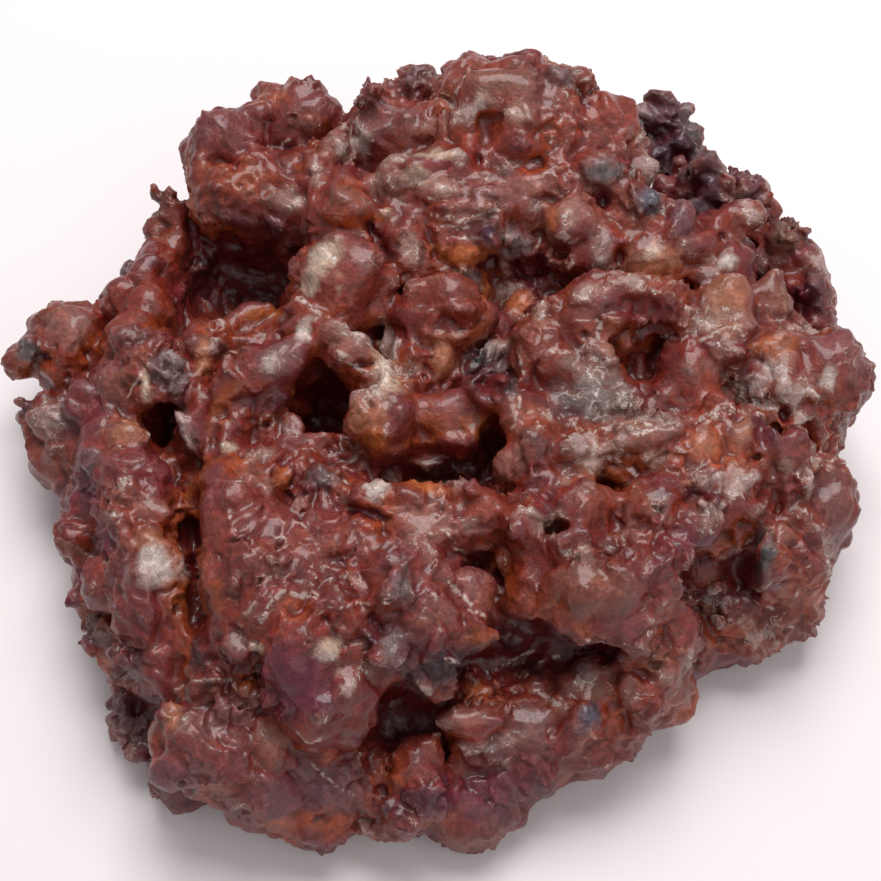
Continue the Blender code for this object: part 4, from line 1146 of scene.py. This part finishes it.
def cells(points, size, seed=0):
    """Points are scattered one to a cell: how far the nearest and the next are, and the nearest one's number.

    The distances are over the cell size, and the number is random, from 0 to 1.
    """
    p = points / size
    cell = np.floor(p).astype(np.int64)
    f = p - cell
    near = np.full(len(p), 9.0)
    second = np.full(len(p), 9.0)
    mark = np.zeros(len(p))
    for dx in (-1, 0, 1):
        for dy in (-1, 0, 1):
            for dz in (-1, 0, 1):
                h = scramble(cell[:, 0] + dx, cell[:, 1] + dy, cell[:, 2] + dz, seed)
                ox = dx + (h & 1023) / 1023 - f[:, 0]
                oy = dy + ((h >> 10) & 1023) / 1023 - f[:, 1]
                oz = dz + ((h >> 20) & 1023) / 1023 - f[:, 2]
                d = np.sqrt(ox * ox + oy * oy + oz * oz)
                closer = d < near
                second = np.where(closer, near, np.minimum(second, d))
                mark = np.where(closer, (h >> 5) % 1000 / 1000.0, mark)
                near = np.where(closer, d, near)
    return near, second, mark


def step(low, high, value):
    """0 below low, 1 above high and smooth between them."""
    t = np.clip((value - low) / (high - low), 0, 1)
    return t * t * (3 - 2 * t)


def edges_of(mesh):
    out = np.empty(len(mesh.edges) * 2, np.int32)
    mesh.edges.foreach_get("vertices", out)
    return out.reshape(-1, 2)


def spread(values, edges, times, count):
    """The values of each vertex evened out with its neighbours', this many times."""
    values = values.astype(np.float64)
    flat = values.ndim == 1
    if flat:
        values = values[:, None]
    a, b = edges[:, 0], edges[:, 1]
    degree = np.bincount(a, minlength=count) + np.bincount(b, minlength=count)
    degree = np.maximum(degree, 1)[:, None]
    for _ in range(times):
        total = np.empty_like(values)
        for k in range(values.shape[1]):
            total[:, k] = np.bincount(a, values[b, k], count) + np.bincount(b, values[a, k], count)
        values = 0.5 * values + 0.5 * total / degree
    return values[:, 0] if flat else values


class Marks:
    """The marks of the tables, found on the solid where the photo shows them, in mm."""

    def __init__(self, solid):
        corners = [vertex.co for vertex in solid.data.vertices]
        self.skin = BVHTree.FromPolygons(corners, [face.vertices for face in solid.data.polygons])
        self.eye = TARGET + Vector(OUTWARD) * AWAY
        self.reach = LENS / SENSOR * PHOTO_SIDE
        self.lumps = [self.lump(*row) for row in SMALL_LUMPS.values()]
        self.pits = [self.oval(*row) for row in PITS.values()]
        self.crumbs = [self.round(*row) for row in CRUMBS.values()]
        self.threads = [(row[0], [self.find(*spot)[0] for spot in row[1:]]) for row in THREADS.values()]
        self.bubbles = [self.round(*row) for row in BUBBLES.values()]
        self.patches = [self.oval(*row) for row in PATCHES.values()]

    def sight(self, x, y):
        """The direction in which the camera sees a pixel."""
        aside = Vector(ACROSS) * (x - MIDDLE_X) - Vector(UPWARD) * (y - MIDDLE_Y)
        return (aside - Vector(OUTWARD) * self.reach).normalized()

    def find(self, x, y):
        """The place that a pixel shows, the line of sight and the size of a pixel there."""
        for share in RIM_STEPS:
            line = self.sight(x + (MIDDLE_X - x) * share, y + (MIDDLE_Y - y) * share)
            place = self.skin.ray_cast(self.eye, line)[0]
            if place is not None:
                return place / MM, line, (self.eye - place).dot(Vector(OUTWARD)) / MM / self.reach
        raise ValueError(f"the photo shows no crust near {x}, {y}")

    def lump(self, x, y, wide, tall, turn, proud):
        place, line, pixel = self.find(x, y)
        least = min(wide, tall) * pixel
        deep = DEPTH_SHARE * least if least > SMALLEST_LUMP else 1.0
        return (*(place + line * (deep - proud)), wide * pixel, tall * pixel, deep, turn)

    def oval(self, x, y, wide, tall, turn, *rest):
        place, _, pixel = self.find(x, y)
        return (*place, wide * pixel, tall * pixel, turn, *rest)

    def round(self, x, y, radius, *rest):
        place, _, pixel = self.find(x, y)
        return (*place, radius * pixel, *rest)


def local(p, x, y, z, wide, tall, deep, turn):
    """Places in the frame of a mark that faces outwards, in its half sizes."""
    d = p - (x, y, z)
    angle = math.radians(turn)
    u, v, w = d @ ACROSS, d @ UPWARD, d @ OUTWARD
    along = u * math.cos(angle) + v * math.sin(angle)
    beside = v * math.cos(angle) - u * math.sin(angle)
    return along / wide, beside / tall, w / deep


def close_to(p, x, y, z, reach):
    """The numbers of the points that are within reach of a place."""
    return np.flatnonzero(((p - (x, y, z)) ** 2).sum(1) < reach * reach)


def add_ball(points, faces, ball, matrix, uneven, seed):
    """A ball pushed out of shape: the matrix sizes and turns it, and uneven is how far its skin wanders."""
    first = len(points)
    for point in ball.ball_points:
        wander = noise.noise(point * 1.3 + Vector((seed * 3.1, seed * 1.7, 0.0)))
        points.append(matrix @ (point * (1.0 + uneven * wander)))
    faces.extend([first + corner for corner in face] for face in ball.ball_faces)


def facing(angle):
    """Turns x to the right, y up the lean and z outwards, then by an angle about z."""
    frame = Matrix((ACROSS, UPWARD, OUTWARD)).transposed().to_4x4()
    return frame @ Matrix.Rotation(math.radians(angle), 4, "Z")


def add_small_lumps(points, faces, ball, lumps):
    for seed, (x, y, z, wide, tall, deep, turn) in enumerate(lumps):
        matrix = Matrix.Translation((x, y, z)) @ facing(turn) @ Matrix.Diagonal((wide, tall, deep, 1.0))
        add_ball(points, faces, ball, matrix, 0.35, seed)


def add_crumbs(points, faces, ball, crumbs, tree):
    """Broken crumbs of burnt crust, set on the skin where a line from outside meets it."""
    draw = random.Random(CRUMB_SEED)
    outward = Vector(OUTWARD)
    for x, y, z, reach, count, size in crumbs:
        for _ in range(count):
            away = reach * math.sqrt(draw.random())
            angle = draw.uniform(0, math.tau)
            start = Vector((x, y, z)) + Vector(ACROSS) * away * math.cos(angle)
            start += Vector(UPWARD) * away * math.sin(angle)
            place, normal, _, _ = tree.ray_cast(start + outward * 30, -outward)
            if place is None or (place - start).length > 7:
                place, normal, _, _ = tree.find_nearest(Vector((x, y, z)))
            lean = (normal + Vector([draw.uniform(-0.8, 0.8) for _ in range(3)])).normalized()
            width = size * draw.uniform(0.45, 0.9)
            length = width * draw.uniform(0.8, 1.5)
            flat = draw.uniform(0.5, 1.0)
            matrix = (
                Matrix.Translation(place + lean * length * 0.35)
                @ lean.to_track_quat("Z", "Y").to_matrix().to_4x4()
                @ Matrix.Rotation(draw.uniform(0, math.tau), 4, "Z")
                @ Matrix.Diagonal((width, width * flat, length, 1.0))
            )
            add_ball(points, faces, ball, matrix, 0.7, draw.uniform(0, 50))


def make_dough(marks):
    """The same dough as the solid's, before it is thinned out, with a finer skin."""
    dough = Dough()
    draw = random.Random(KNOB_SEED)
    tables = (
        CORE, CROWN, NORTH_WEST, WEST, SOUTH_WEST, SOUTH, EAST, NORTH_EAST, TOP_EAST, TOP_MIDDLE, TOP_WEST,
    )
    for table in tables:
        for lump in table.values():
            dough.add_lump(*lump)
            if table is not CORE:
                dough.add_knobs(draw, *lump)
    crust = dough.skin("crust", GRAIN)
    hollow = Dough()
    for lump in HOLLOWS.values():
        hollow.add_lump(*lump)
    hollows = hollow.skin("hollows", GRAIN)
    cut = crust.modifiers.new("hollows", "BOOLEAN")
    cut.operation = "DIFFERENCE"
    cut.object = hollows
    smooth = crust.modifiers.new("soften", "SMOOTH")
    smooth.iterations = SMOOTHING
    apply_modifiers(crust)
    bpy.data.objects.remove(hollows)
    roughen(crust.data)
    low, high = positions(crust.data).min(0), positions(crust.data).max(0)
    low[2] = FLAT_CUT
    box = np.array(cad_box) * 1000
    set_positions(crust.data, box[0] + (positions(crust.data) - low) / (high - low) * (box[1] - box[0]))
    points = [vertex.co.copy() for vertex in crust.data.vertices]
    faces = [list(face.vertices) for face in crust.data.polygons]
    add_small_lumps(points, faces, dough, marks.lumps)
    wrap(crust, points, faces, LUMP_GRAIN_FINE, LUMP_BLEND)
    points = [vertex.co.copy() for vertex in crust.data.vertices]
    faces = [list(face.vertices) for face in crust.data.polygons]
    add_crumbs(points, faces, dough, marks.crumbs, BVHTree.FromPolygons(points, faces))
    wrap(crust, points, faces, SKIN_GRAIN, SKIN_SMOOTHING)
    return crust


def wrap(obj, points, faces, grain, smoothing):
    """Gives the object one skin round these points and faces, and softens it."""
    mesh = bpy.data.meshes.new("crust")
    mesh.from_pydata(points, [], faces)
    obj.data = mesh
    draw_skin(obj, grain)
    smooth = obj.modifiers.new("soften", "SMOOTH")
    smooth.iterations = smoothing
    apply_modifiers(obj)


def crags_of(points, size, seed):
    """Sharp crests, 1 along them and 0 in the wide hollows between them."""
    return np.clip(1 - 2.2 * np.abs(waves(points, size, seed)), 0, 1) ** 2


def fine_relief(mesh, marks):
    """Crests, nodules, ledges, creases, pits, threads and bubbles."""
    p = positions(mesh).astype(np.float64)
    n = normals(mesh).astype(np.float64)
    q = p + 2.0 * np.stack([waves(p, 8.0, s) for s in (11, 12, 13)], 1)
    q = q + 0.8 * np.stack([waves(q, 2.8, s) for s in (14, 15, 16)], 1)
    calm = np.zeros(len(p))
    moat = np.zeros(len(p))
    for x, y, z, wide, tall, deep, turn in marks.lumps:
        near = close_to(p, x, y, z, 1.5 * max(wide, tall) + 1)
        u, v, w = local(p[near], x, y, z, wide, tall, deep, turn)
        away = np.sqrt(u * u + v * v + w * w)
        calm[near] = np.maximum(calm[near], step(1.25, 0.95, away) * min(1.0, max(wide, tall) / 4))
        moat[near] = np.maximum(moat[near], np.exp(-(((away - 1.18) / 0.12) ** 2)) * min(1.0, wide / 3))
    quiet = step(4.0, 12.0, depth_below(p))
    rough = step(-0.4, 0.3, waves(p, 15.0, 21)) * (1 - 0.8 * calm)
    for x, y, z, reach, count, size in marks.crumbs:
        near = close_to(p, x, y, z, reach * 2)
        away = np.sqrt(((p[near] - (x, y, z)) ** 2).sum(1)) / (reach * 1.4)
        rough[near] = np.maximum(rough[near], step(1.2, 0.6, away))
    rough = rough * (1 - 0.9 * quiet)
    dome = np.abs(waves(q, 7.0, 34))
    nodule = np.abs(waves(q, 4.0, 36))
    middle = crags_of(q, 3.4, 32)
    small = crags_of(q, 1.7, 33)
    grain = np.abs(waves(q, 1.3, 35))
    move = (1.8 * (1 - 0.6 * calm)) * (dome**0.7 - 0.35)
    move += 0.5 * (middle - 0.3) * step(0.0, 0.4, waves(p, 11.0, 37))
    move += (0.5 * (1 - 0.6 * calm) + 0.7 * rough) * (nodule - 0.2)
    move += (0.04 + 0.75 * rough) * (middle - 0.3)
    move += (0.02 + 0.26 * rough) * (small - 0.3)
    move += (0.05 + 0.25 * rough) * (grain - 0.2)
    # thin ledges, in patches
    lie = (q @ np.array((0.12, 0.35, 0.93))) / 2.4
    ledge = lie - np.floor(lie)
    move += 0.4 * (1 - calm) * step(0.15, 0.5, waves(p, 12.0, 41)) * (ledge * step(1.0, 0.85, ledge) - 0.4)
    # narrow creases
    crease = np.exp(-((waves(q, 10.0, 51) / 0.045) ** 2))
    move -= 0.7 * (1 - calm) * crease * step(-0.2, 0.3, waves(p, 20.0, 52))
    move -= 0.35 * moat
    # burst bubbles, with a raised rim
    near, second, mark = cells(p, 6.5, 71)
    size = 0.06 + 0.10 * mark
    open_here = (mark > 0.6).astype(float)
    rim = 0.2 * np.exp(-((((near / size) - 1.2) / 0.25) ** 2))
    move += open_here * (rim - 0.7 * step(1.0, 0.5, near / size))
    for x, y, z, radius in marks.bubbles:
        near = close_to(p, x, y, z, 4)
        u, v, _ = local(p[near], x, y, z, radius, radius, 1, 0)
        away = np.sqrt(u * u + v * v)
        move[near] += 0.45 * np.exp(-(((away - 0.75) / 0.22) ** 2)) - 0.6 * step(0.5, 0.2, away)
    moved = p + n * move[:, None]
    for x, y, z, wide, tall, turn, depth in marks.pits:
        near = close_to(p, x, y, z, 1.6 * max(wide, tall) + 2)
        u, v, w = local(p[near], x, y, z, wide, tall, 5, turn)
        inside = step(1.15, 0.45, np.sqrt(u * u + v * v + w * w) + 0.25 * waves(p[near], 2.5, 61))
        moved[near] -= (depth * inside)[:, None] * OUTWARD
    for width, places in marks.threads:
        away, near = along_thread(p, places)
        moved[near] += (0.22 * np.exp(-((away / (0.7 * width)) ** 2)))[:, None] * n[near]
    set_positions(mesh, moved)


def depth_below(p):
    """How far each place lies under the highest crust within a few mm of it."""
    side = 160
    ix = (p[:, 0] + side / 2).astype(int)
    iy = (p[:, 1] + side / 2).astype(int)
    top = np.zeros((side, side))
    np.maximum.at(top, (ix, iy), p[:, 2])
    for _ in range(7):
        padded = np.pad(top, 1, mode="edge")
        top = sum(padded[i:i + side, j:j + side] for i in range(3) for j in range(3)) / 9
    return top[ix, iy] - p[:, 2]


def along_thread(p, places):
    """How far the points near a thread are from it, with a wandering course, and their numbers."""
    spots = np.array(places)
    middle = spots.mean(0)
    near = close_to(p, *middle, np.sqrt(((spots - middle) ** 2).sum(1)).max() + 4)
    q = p[near] + 0.5 * np.stack([waves(p[near], 2.2, s) for s in (81, 82, 83)], 1)
    best = np.full(len(near), 99.0)
    for start, end in zip(spots[:-1], spots[1:]):
        line = end - start
        t = np.clip(((q - start) @ line) / (line @ line), 0, 1)
        d = q - (start + t[:, None] * line)
        out = d @ OUTWARD
        flat = (d * d).sum(1) - out * out
        best = np.minimum(best, np.sqrt(np.maximum(flat, 0) + (np.maximum(np.abs(out) - 2.5, 0)) ** 2))
    return best, near


def cut_flat(mesh, height):
    """Cuts off what is under this height and closes the cut with one flat face."""
    bm = bmesh.new()
    bm.from_mesh(mesh)
    everything = bm.verts[:] + bm.edges[:] + bm.faces[:]
    cut = bmesh.ops.bisect_plane(
        bm,
        geom=everything,
        dist=1e-5,
        plane_co=(0, 0, height),
        plane_no=(0, 0, 1),
        clear_inner=True,
    )
    rim = [item for item in cut["geom_cut"] if isinstance(item, bmesh.types.BMEdge)]
    bmesh.ops.triangle_fill(bm, edges=rim, use_beauty=True)
    bmesh.ops.recalc_face_normals(bm, faces=bm.faces[:])
    bmesh.ops.triangulate(bm, faces=bm.faces[:])
    bm.to_mesh(mesh)
    bm.free()


def fit_box(mesh, box):
    """Scales and moves the mesh to fill the solid's box."""
    p = positions(mesh).astype(np.float64)
    low, high = p.min(0), p.max(0)
    want_low, want_high = np.array(box[0]), np.array(box[1])
    set_positions(mesh, want_low + (p - low) / (high - low) * (want_high - want_low))


def thin(obj, triangles):
    count = sum(len(face.vertices) - 2 for face in obj.data.polygons)
    if count > triangles:
        decimate = obj.modifiers.new("thin out", "DECIMATE")
        decimate.ratio = triangles / count
        apply_modifiers(obj)


def add_floats(mesh, name, values):
    layer = mesh.attributes.new(name, "FLOAT", "POINT")
    layer.data.foreach_set("value", np.ascontiguousarray(values, np.float32))


def add_colours(mesh, name, values):
    layer = mesh.attributes.new(name, "FLOAT_COLOR", "POINT")
    full = np.ones((len(values), 4), np.float32)
    full[:, :3] = values
    layer.data.foreach_set("color", full.ravel())


def linear(red, green, blue):
    """A colour as a screen shows it, 0 to 255, as the light it stands for."""
    out = []
    for value in (red, green, blue):
        value /= 255
        out.append(value / 12.92 if value <= 0.04045 else ((value + 0.055) / 1.055) ** 2.4)
    return np.array(out)


# Tones that the crust is painted with.
BASE = linear(128, 44, 27)
SOOT = (80, 46, 48)
# A patch whose red, green and blue add up to more than the first takes dried film, and more than the second,
# whitish.
PALE = 380
WHITISH = 560
# The deep red of painted shade in deep hollows, pits and creases.
DEEP = linear(134, 26, 28)
# The orange of painted glow, light shining through the dough, mixed with random amber tone.
GLOW = linear(178, 80, 30)
HAZE_TONE = linear(152, 106, 88)
LINE_TONE = linear(204, 194, 188)
ASH_TONE = linear(132, 112, 112)
# All tones are darkened by this share before the light falls on them.
DARKER = 0.75


def measure(mesh):
    """How hollow, how deep and how upturned the crust is at each vertex; all about 0 to 1."""
    count = len(mesh.vertices)
    p = positions(mesh).astype(np.float64) / MM
    n = normals(mesh).astype(np.float64)
    edges = edges_of(mesh)
    small = spread(p, edges, 6, count)
    large = spread(small, edges, 45, count)
    crease = ((small - p) * n).sum(1)
    hollow = ((large - p) * n).sum(1)
    return p, n, crease, hollow, depth_below(p)


def blend(tone, colour, amount):
    amount = np.clip(amount, 0, 1)[:, None]
    return tone * (1 - amount) + np.asarray(colour) * amount


def paint(mesh, marks):
    p, n, crease, hollow, depth = measure(mesh)
    broad = waves(p, 20.0, 101)
    middle = waves(p, 8.0, 102)
    small = waves(p, 3.2, 103)
    tiny = waves(p, 1.5, 108)
    steep = 1 - np.clip(n @ OUTWARD, 0, 1)
    under = np.clip(-(n @ UPWARD), 0, 1)
    # Painted glow: orange strongest on steep sides, on undersides and in hollows, where light shines through
    # the dough, mixed with random amber tone from noise.
    glow = 0.7 * middle + 0.45 * broad + 0.25 * hollow + 0.3 * steep + 0.45 * under
    tone = blend(np.tile(BASE, (len(p), 1)), GLOW, 0.9 * step(0.05, 0.75, glow))
    browned = 0.7 * waves(p, 13.0, 104) + 0.3 * small - 0.2 * hollow
    tone = blend(tone, linear(*BROWN), 0.3 * step(0.0, 0.5, browned))
    tone = blend(tone, linear(*WINE), 0.5 * step(0.05, 0.55, waves(p, 10.0, 109) - 0.3 * hollow))
    raised = step(0.0, 0.55, -crease)
    cloud = 0.9 * waves(p, 8.5, 106) + 0.5 * waves(p, 3.0, 107)
    far_side = step(-40.0, 50.0, 0.9 * p[:, 0] + 0.3 * p[:, 1])
    film = step(0.15, 0.9, cloud + 0.35 * raised + 0.3 * (n @ OUTWARD - 0.6) + 0.35 * far_side - 0.2)
    film = film * step(13.0, 4.0, depth)
    scorch = 0.7 * step(0.5, 0.75, waves(p, 7.0, 105) + 0.25 * small)
    for x, y, z, reach, count, size in marks.crumbs:
        near = close_to(p, x, y, z, reach * 2 + 2)
        away = np.sqrt(((p[near] - (x, y, z)) ** 2).sum(1)) / (reach + size)
        dark = 0.35 if size < 1.35 else 0.9
        uneven = away + 0.3 * middle[near] + 0.25 * small[near]
        scorch[near] = np.maximum(scorch[near], dark * step(1.3, 0.7, uneven))
    tone = blend(tone, linear(*SOOT), 0.8 * scorch)
    # The patches lay stains and glaze, and also painted shade, painted highlights and painted glow.
    for x, y, z, wide, tall, turn, colour, strength in marks.patches:
        near = close_to(p, x, y, z, 1.6 * max(wide, tall) + 2)
        u, v, w = local(p[near], x, y, z, wide, tall, max(wide, tall) + 3, turn)
        away = np.sqrt(u * u + v * v + w * w) + 0.35 * small[near] + 0.35 * tiny[near] + 0.2 * middle[near]
        amount = strength * step(1.35, 0.55, away)
        pale = sum(colour) > PALE
        tint = 0.5 if pale and sum(colour) < WHITISH else 1.0
        tone[near] = blend(tone[near], linear(*colour), amount * tint)
        film[near] = blend_number(film[near], 0.9 if pale else 0.08, 0.8 * amount)
    # Painted shade: the deep hollows darkened and turned deep red.
    deep = step(3.0, 11.0, depth + 2.0 * hollow)
    tone = blend(tone, DEEP, 0.8 * deep) * (1 - 0.35 * deep)[:, None]
    film = film * (1 - 0.9 * deep)
    # Painted shade in the pits.
    for x, y, z, wide, tall, turn, depth_here in marks.pits:
        near = close_to(p, x, y, z, 1.6 * max(wide, tall) + 2)
        u, v, w = local(p[near], x, y, z, wide, tall, 5, turn)
        inside = step(1.1, 0.5, np.sqrt(u * u + v * v + w * w) + 0.25 * small[near])
        tone[near] = blend(tone[near], DEEP * 0.8, 0.7 * inside)
        film[near] = film[near] * (1 - 0.9 * inside)
    # Painted shade in creases and hollows.
    fold = step(0.05, 0.55, crease + 0.35 * hollow)
    tone = blend(tone, DEEP, 0.6 * fold) * (1 - 0.4 * fold)[:, None]
    tone = tone * (1 + 0.3 * small + 0.2 * tiny)[:, None]
    # Painted reflection: the crust lowest down tinted violet, as if lit from a pink surface below it.
    tone = blend(tone, linear(*VIOLET), 0.45 * step(16.0, 2.0, p[:, 2] + 6 * middle))
    crest = step(0.12, 0.5, -crease) * step(-0.2, 0.5, cloud + 0.3 * raised)
    thread = np.zeros(len(p))
    for width, places in marks.threads:
        away, near = along_thread(p, places)
        thread[near] = np.maximum(thread[near], np.exp(-((away / (width * 0.75)) ** 2)))
    for x, y, z, radius in marks.bubbles:
        near = close_to(p, x, y, z, 4)
        u, v, _ = local(p[near], x, y, z, radius, radius, 1, 0)
        away = np.sqrt(u * u + v * v)
        thread[near] = np.maximum(thread[near], 0.8 * np.exp(-(((away - 0.75) / 0.25) ** 2)))
    add_colours(mesh, "tone", np.clip(tone * DARKER, 0, 1))
    add_floats(mesh, "film", film)
    add_floats(mesh, "crest", crest)
    add_floats(mesh, "scorch", scorch)
    add_floats(mesh, "thread", thread)


def blend_number(value, other, amount):
    return value * (1 - amount) + other * amount


class Nodes:
    """Short names for making a node tree."""

    def __init__(self, name):
        self.material = bpy.data.materials.new(name)
        self.material.use_nodes = True
        self.tree = self.material.node_tree
        self.shader = self.tree.nodes["Principled BSDF"]

    def add(self, kind, inputs=None, **settings):
        node = self.tree.nodes.new(kind)
        for key, value in settings.items():
            setattr(node, key, value)
        for key, value in (inputs or {}).items():
            self.feed(node.inputs[key], value)
        return node

    def feed(self, socket, value):
        if isinstance(value, bpy.types.NodeSocket):
            self.tree.links.new(value, socket)
        else:
            socket.default_value = value

    def math(self, operation, a, b=0.0, clamp=False):
        return self.add("ShaderNodeMath", {0: a, 1: b}, operation=operation, use_clamp=clamp).outputs[0]

    def ramp(self, value, low, high):
        """0 at low and 1 at high, smooth between; low may be above high."""
        node = self.add(
            "ShaderNodeMapRange",
            {"Value": value, "From Min": low, "From Max": high, "To Min": 0.0, "To Max": 1.0},
            interpolation_type="SMOOTHSTEP",
        )
        return node.outputs["Result"]

    def mix(self, amount, a, b):
        node = self.add("ShaderNodeMix", data_type="RGBA")
        self.feed(node.inputs["Factor"], amount)
        self.feed(node.inputs[6], a)
        self.feed(node.inputs[7], b)
        return node.outputs[2]

    def attribute(self, name, output="Fac"):
        return self.add("ShaderNodeAttribute", attribute_name=name).outputs[output]

    def noise(self, where, scale, detail=3.0, distortion=0.0):
        node = self.add(
            "ShaderNodeTexNoise",
            {"Vector": where, "Scale": scale, "Detail": detail, "Distortion": distortion},
        )
        return node.outputs["Fac"]


def crust_material():
    m = Nodes("glazed crust")
    place = m.add("ShaderNodeTexCoord").outputs["Object"]
    where = m.add("ShaderNodeMapping", {"Vector": place, "Scale": (1000, 1000, 1000)}).outputs["Vector"]
    tone = m.attribute("tone", "Color")
    film = m.attribute("film")
    crest = m.attribute("crest")
    thread = m.attribute("thread")
    scorch = m.attribute("scorch")
    cloud = m.noise(where, 0.45, 4.0, 0.8)
    fine = m.noise(where, 1.0, 4.0, 0.5)
    grain = m.noise(where, 3.4, 3.0)
    # thin wrinkles of dried glaze
    wrinkle = m.ramp(m.math("ABSOLUTE", m.math("SUBTRACT", m.noise(where, 0.42, 2.5, 2.2), 0.5)), 0.030, 0.0)
    wrinkle = m.math("MULTIPLY", wrinkle, m.ramp(film, 0.12, 0.5))
    wrinkle = m.math("MULTIPLY", wrinkle, m.ramp(fine, 0.38, 0.58))
    rim = m.math("MULTIPLY", crest, m.ramp(m.math("ADD", fine, m.math("MULTIPLY", film, 0.25)), 0.48, 0.72))
    haze = m.math("ADD", m.math("MULTIPLY", film, 0.6), m.math("MULTIPLY", cloud, 0.8))
    haze = m.math("MULTIPLY", m.ramp(haze, 0.50, 1.0), 0.55)
    white = m.math("MAXIMUM", m.math("MULTIPLY", wrinkle, 0.85), m.math("MULTIPLY", rim, 0.4))
    white = m.math("MAXIMUM", white, haze)
    lace = m.math("MULTIPLY", m.ramp(thread, 0.25, 0.75), m.ramp(fine, 0.30, 0.55))
    white = m.math("MAXIMUM", white, m.math("MULTIPLY", lace, 0.65))
    # cracks between flakes of the dried film
    wander = m.add("ShaderNodeTexNoise", {"Vector": where, "Scale": 0.35, "Detail": 2.0}).outputs["Color"]
    wander = m.add("ShaderNodeVectorMath", {0: wander, 1: (5.0, 5.0, 5.0)}, operation="MULTIPLY")
    wander = wander.outputs["Vector"]
    moved = m.add("ShaderNodeVectorMath", {0: where, 1: wander}, operation="ADD").outputs["Vector"]
    flakes = m.add("ShaderNodeTexVoronoi", {"Vector": moved, "Scale": 0.28}, feature="DISTANCE_TO_EDGE")
    crack = m.math("MULTIPLY", m.ramp(flakes.outputs["Distance"], 0.055, 0.0), m.ramp(film, 0.15, 0.55))
    crack = m.math("MULTIPLY", crack, m.ramp(cloud, 0.38, 0.56))
    white = m.math("MAXIMUM", white, m.math("MULTIPLY", crack, 0.9))
    shade = m.mix(m.ramp(fine, 0.3, 0.7), (0.74, 0.70, 0.70, 1), (1.24, 1.20, 1.18, 1))
    body = m.add("ShaderNodeMix", data_type="RGBA", blend_type="MULTIPLY")
    m.feed(body.inputs["Factor"], 1.0)
    m.feed(body.inputs[6], tone)
    m.feed(body.inputs[7], shade)
    film_colour = m.mix(m.ramp(white, 0.3, 0.7), (*HAZE_TONE, 1), (*LINE_TONE, 1))
    film_colour = m.mix(m.ramp(scorch, 0.3, 0.9), film_colour, (*ASH_TONE, 1))
    colour = m.mix(m.math("MULTIPLY", white, 0.85), body.outputs[2], film_colour)
    m.feed(m.shader.inputs["Base Color"], colour)
    rough = m.math("ADD", m.math("MULTIPLY", grain, 0.22), m.math("MULTIPLY", white, 0.18))
    rough = m.math("ADD", rough, m.math("MULTIPLY", scorch, 0.12))
    m.feed(m.shader.inputs["Roughness"], m.math("ADD", rough, 0.31))
    m.shader.inputs["Subsurface Weight"].default_value = 0.25
    m.shader.inputs["Subsurface Radius"].default_value = (0.0020, 0.0008, 0.0004)
    m.shader.inputs["Subsurface Scale"].default_value = 1.0
    m.shader.inputs["Coat Weight"].default_value = 0.35
    m.shader.inputs["Coat Roughness"].default_value = 0.12
    m.shader.inputs["Specular IOR Level"].default_value = 0.35
    height = m.math("ADD", m.math("MULTIPLY", wrinkle, 0.22), m.math("MULTIPLY", rim, 0.12))
    height = m.math("ADD", height, m.math("MULTIPLY", fine, 0.32))
    height = m.math("ADD", height, m.math("MULTIPLY", grain, 0.07))
    bump = m.add("ShaderNodeBump", {"Height": height, "Strength": 0.8, "Distance": 0.001})
    m.feed(m.shader.inputs["Normal"], bump.outputs["Normal"])
    return m.material


def plain_material(name, colour, roughness):
    material = bpy.data.materials.new(name)
    material.use_nodes = True
    shader = material.node_tree.nodes["Principled BSDF"]
    shader.inputs["Base Color"].default_value = (*colour, 1)
    shader.inputs["Roughness"].default_value = roughness
    return material


def add_stage():
    bpy.ops.mesh.primitive_plane_add(size=4.0, location=(0, 0, 0))
    floor = bpy.context.object
    floor.name = "floor"
    floor.data.materials.append(plain_material("pale floor", (0.78, 0.74, 0.75), 0.6))
    world = bpy.data.worlds.new("soft light")
    world.use_nodes = True
    world.node_tree.nodes["Background"].inputs[0].default_value = (1.0, 0.96, 0.97, 1)
    world.node_tree.nodes["Background"].inputs[1].default_value = 0.42
    bpy.context.scene.world = world
    bpy.context.scene.view_settings.view_transform = "Standard"
    for name, power, size, place in (
        ("overhead", 4.6, 0.42, (0.04, 0.27, 0.62)),
        ("fill", 0.8, 0.6, (0.35, -0.35, 0.45)),
    ):
        lamp = bpy.data.lights.new(name, "AREA")
        lamp.energy = power
        lamp.size = size
        lamp.color = (1.0, 0.97, 0.97)
        obj = bpy.data.objects.new(name, lamp)
        obj.location = place
        obj.rotation_mode = "QUATERNION"
        obj.rotation_quaternion = (Vector((0, 0, 0.02)) - Vector(place)).to_track_quat("-Z", "Y")
        bpy.context.scene.collection.objects.link(obj)


def add_camera():
    back = Vector(OUTWARD)
    camera = bpy.data.objects.new("camera", bpy.data.cameras.new("camera"))
    camera.data.lens = LENS
    camera.data.sensor_width = SENSOR
    camera.location = TARGET + back * AWAY
    camera.rotation_mode = "QUATERNION"
    camera.rotation_quaternion = (-back).to_track_quat("-Z", "Y")
    camera.data.shift_x = (PHOTO_SIDE / 2 - MIDDLE_X) / PHOTO_SIDE
    camera.data.shift_y = (MIDDLE_Y - PHOTO_SIDE / 2) / PHOTO_SIDE
    bpy.context.scene.collection.objects.link(camera)
    bpy.context.scene.camera = camera


marks = Marks(frame["nodes"]["fritter"])
crust = make_dough(marks)
fine_relief(crust.data, marks)
cut_flat(crust.data, 0.0)
thin(crust, CRUST_TRIANGLES)
fit_box(crust.data, cad_box)
crust.data.shade_smooth()
paint(crust.data, marks)
crust.data.materials.clear()
crust.data.materials.append(crust_material())
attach(crust, "root")
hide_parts("fritter")
add_stage()
add_camera()
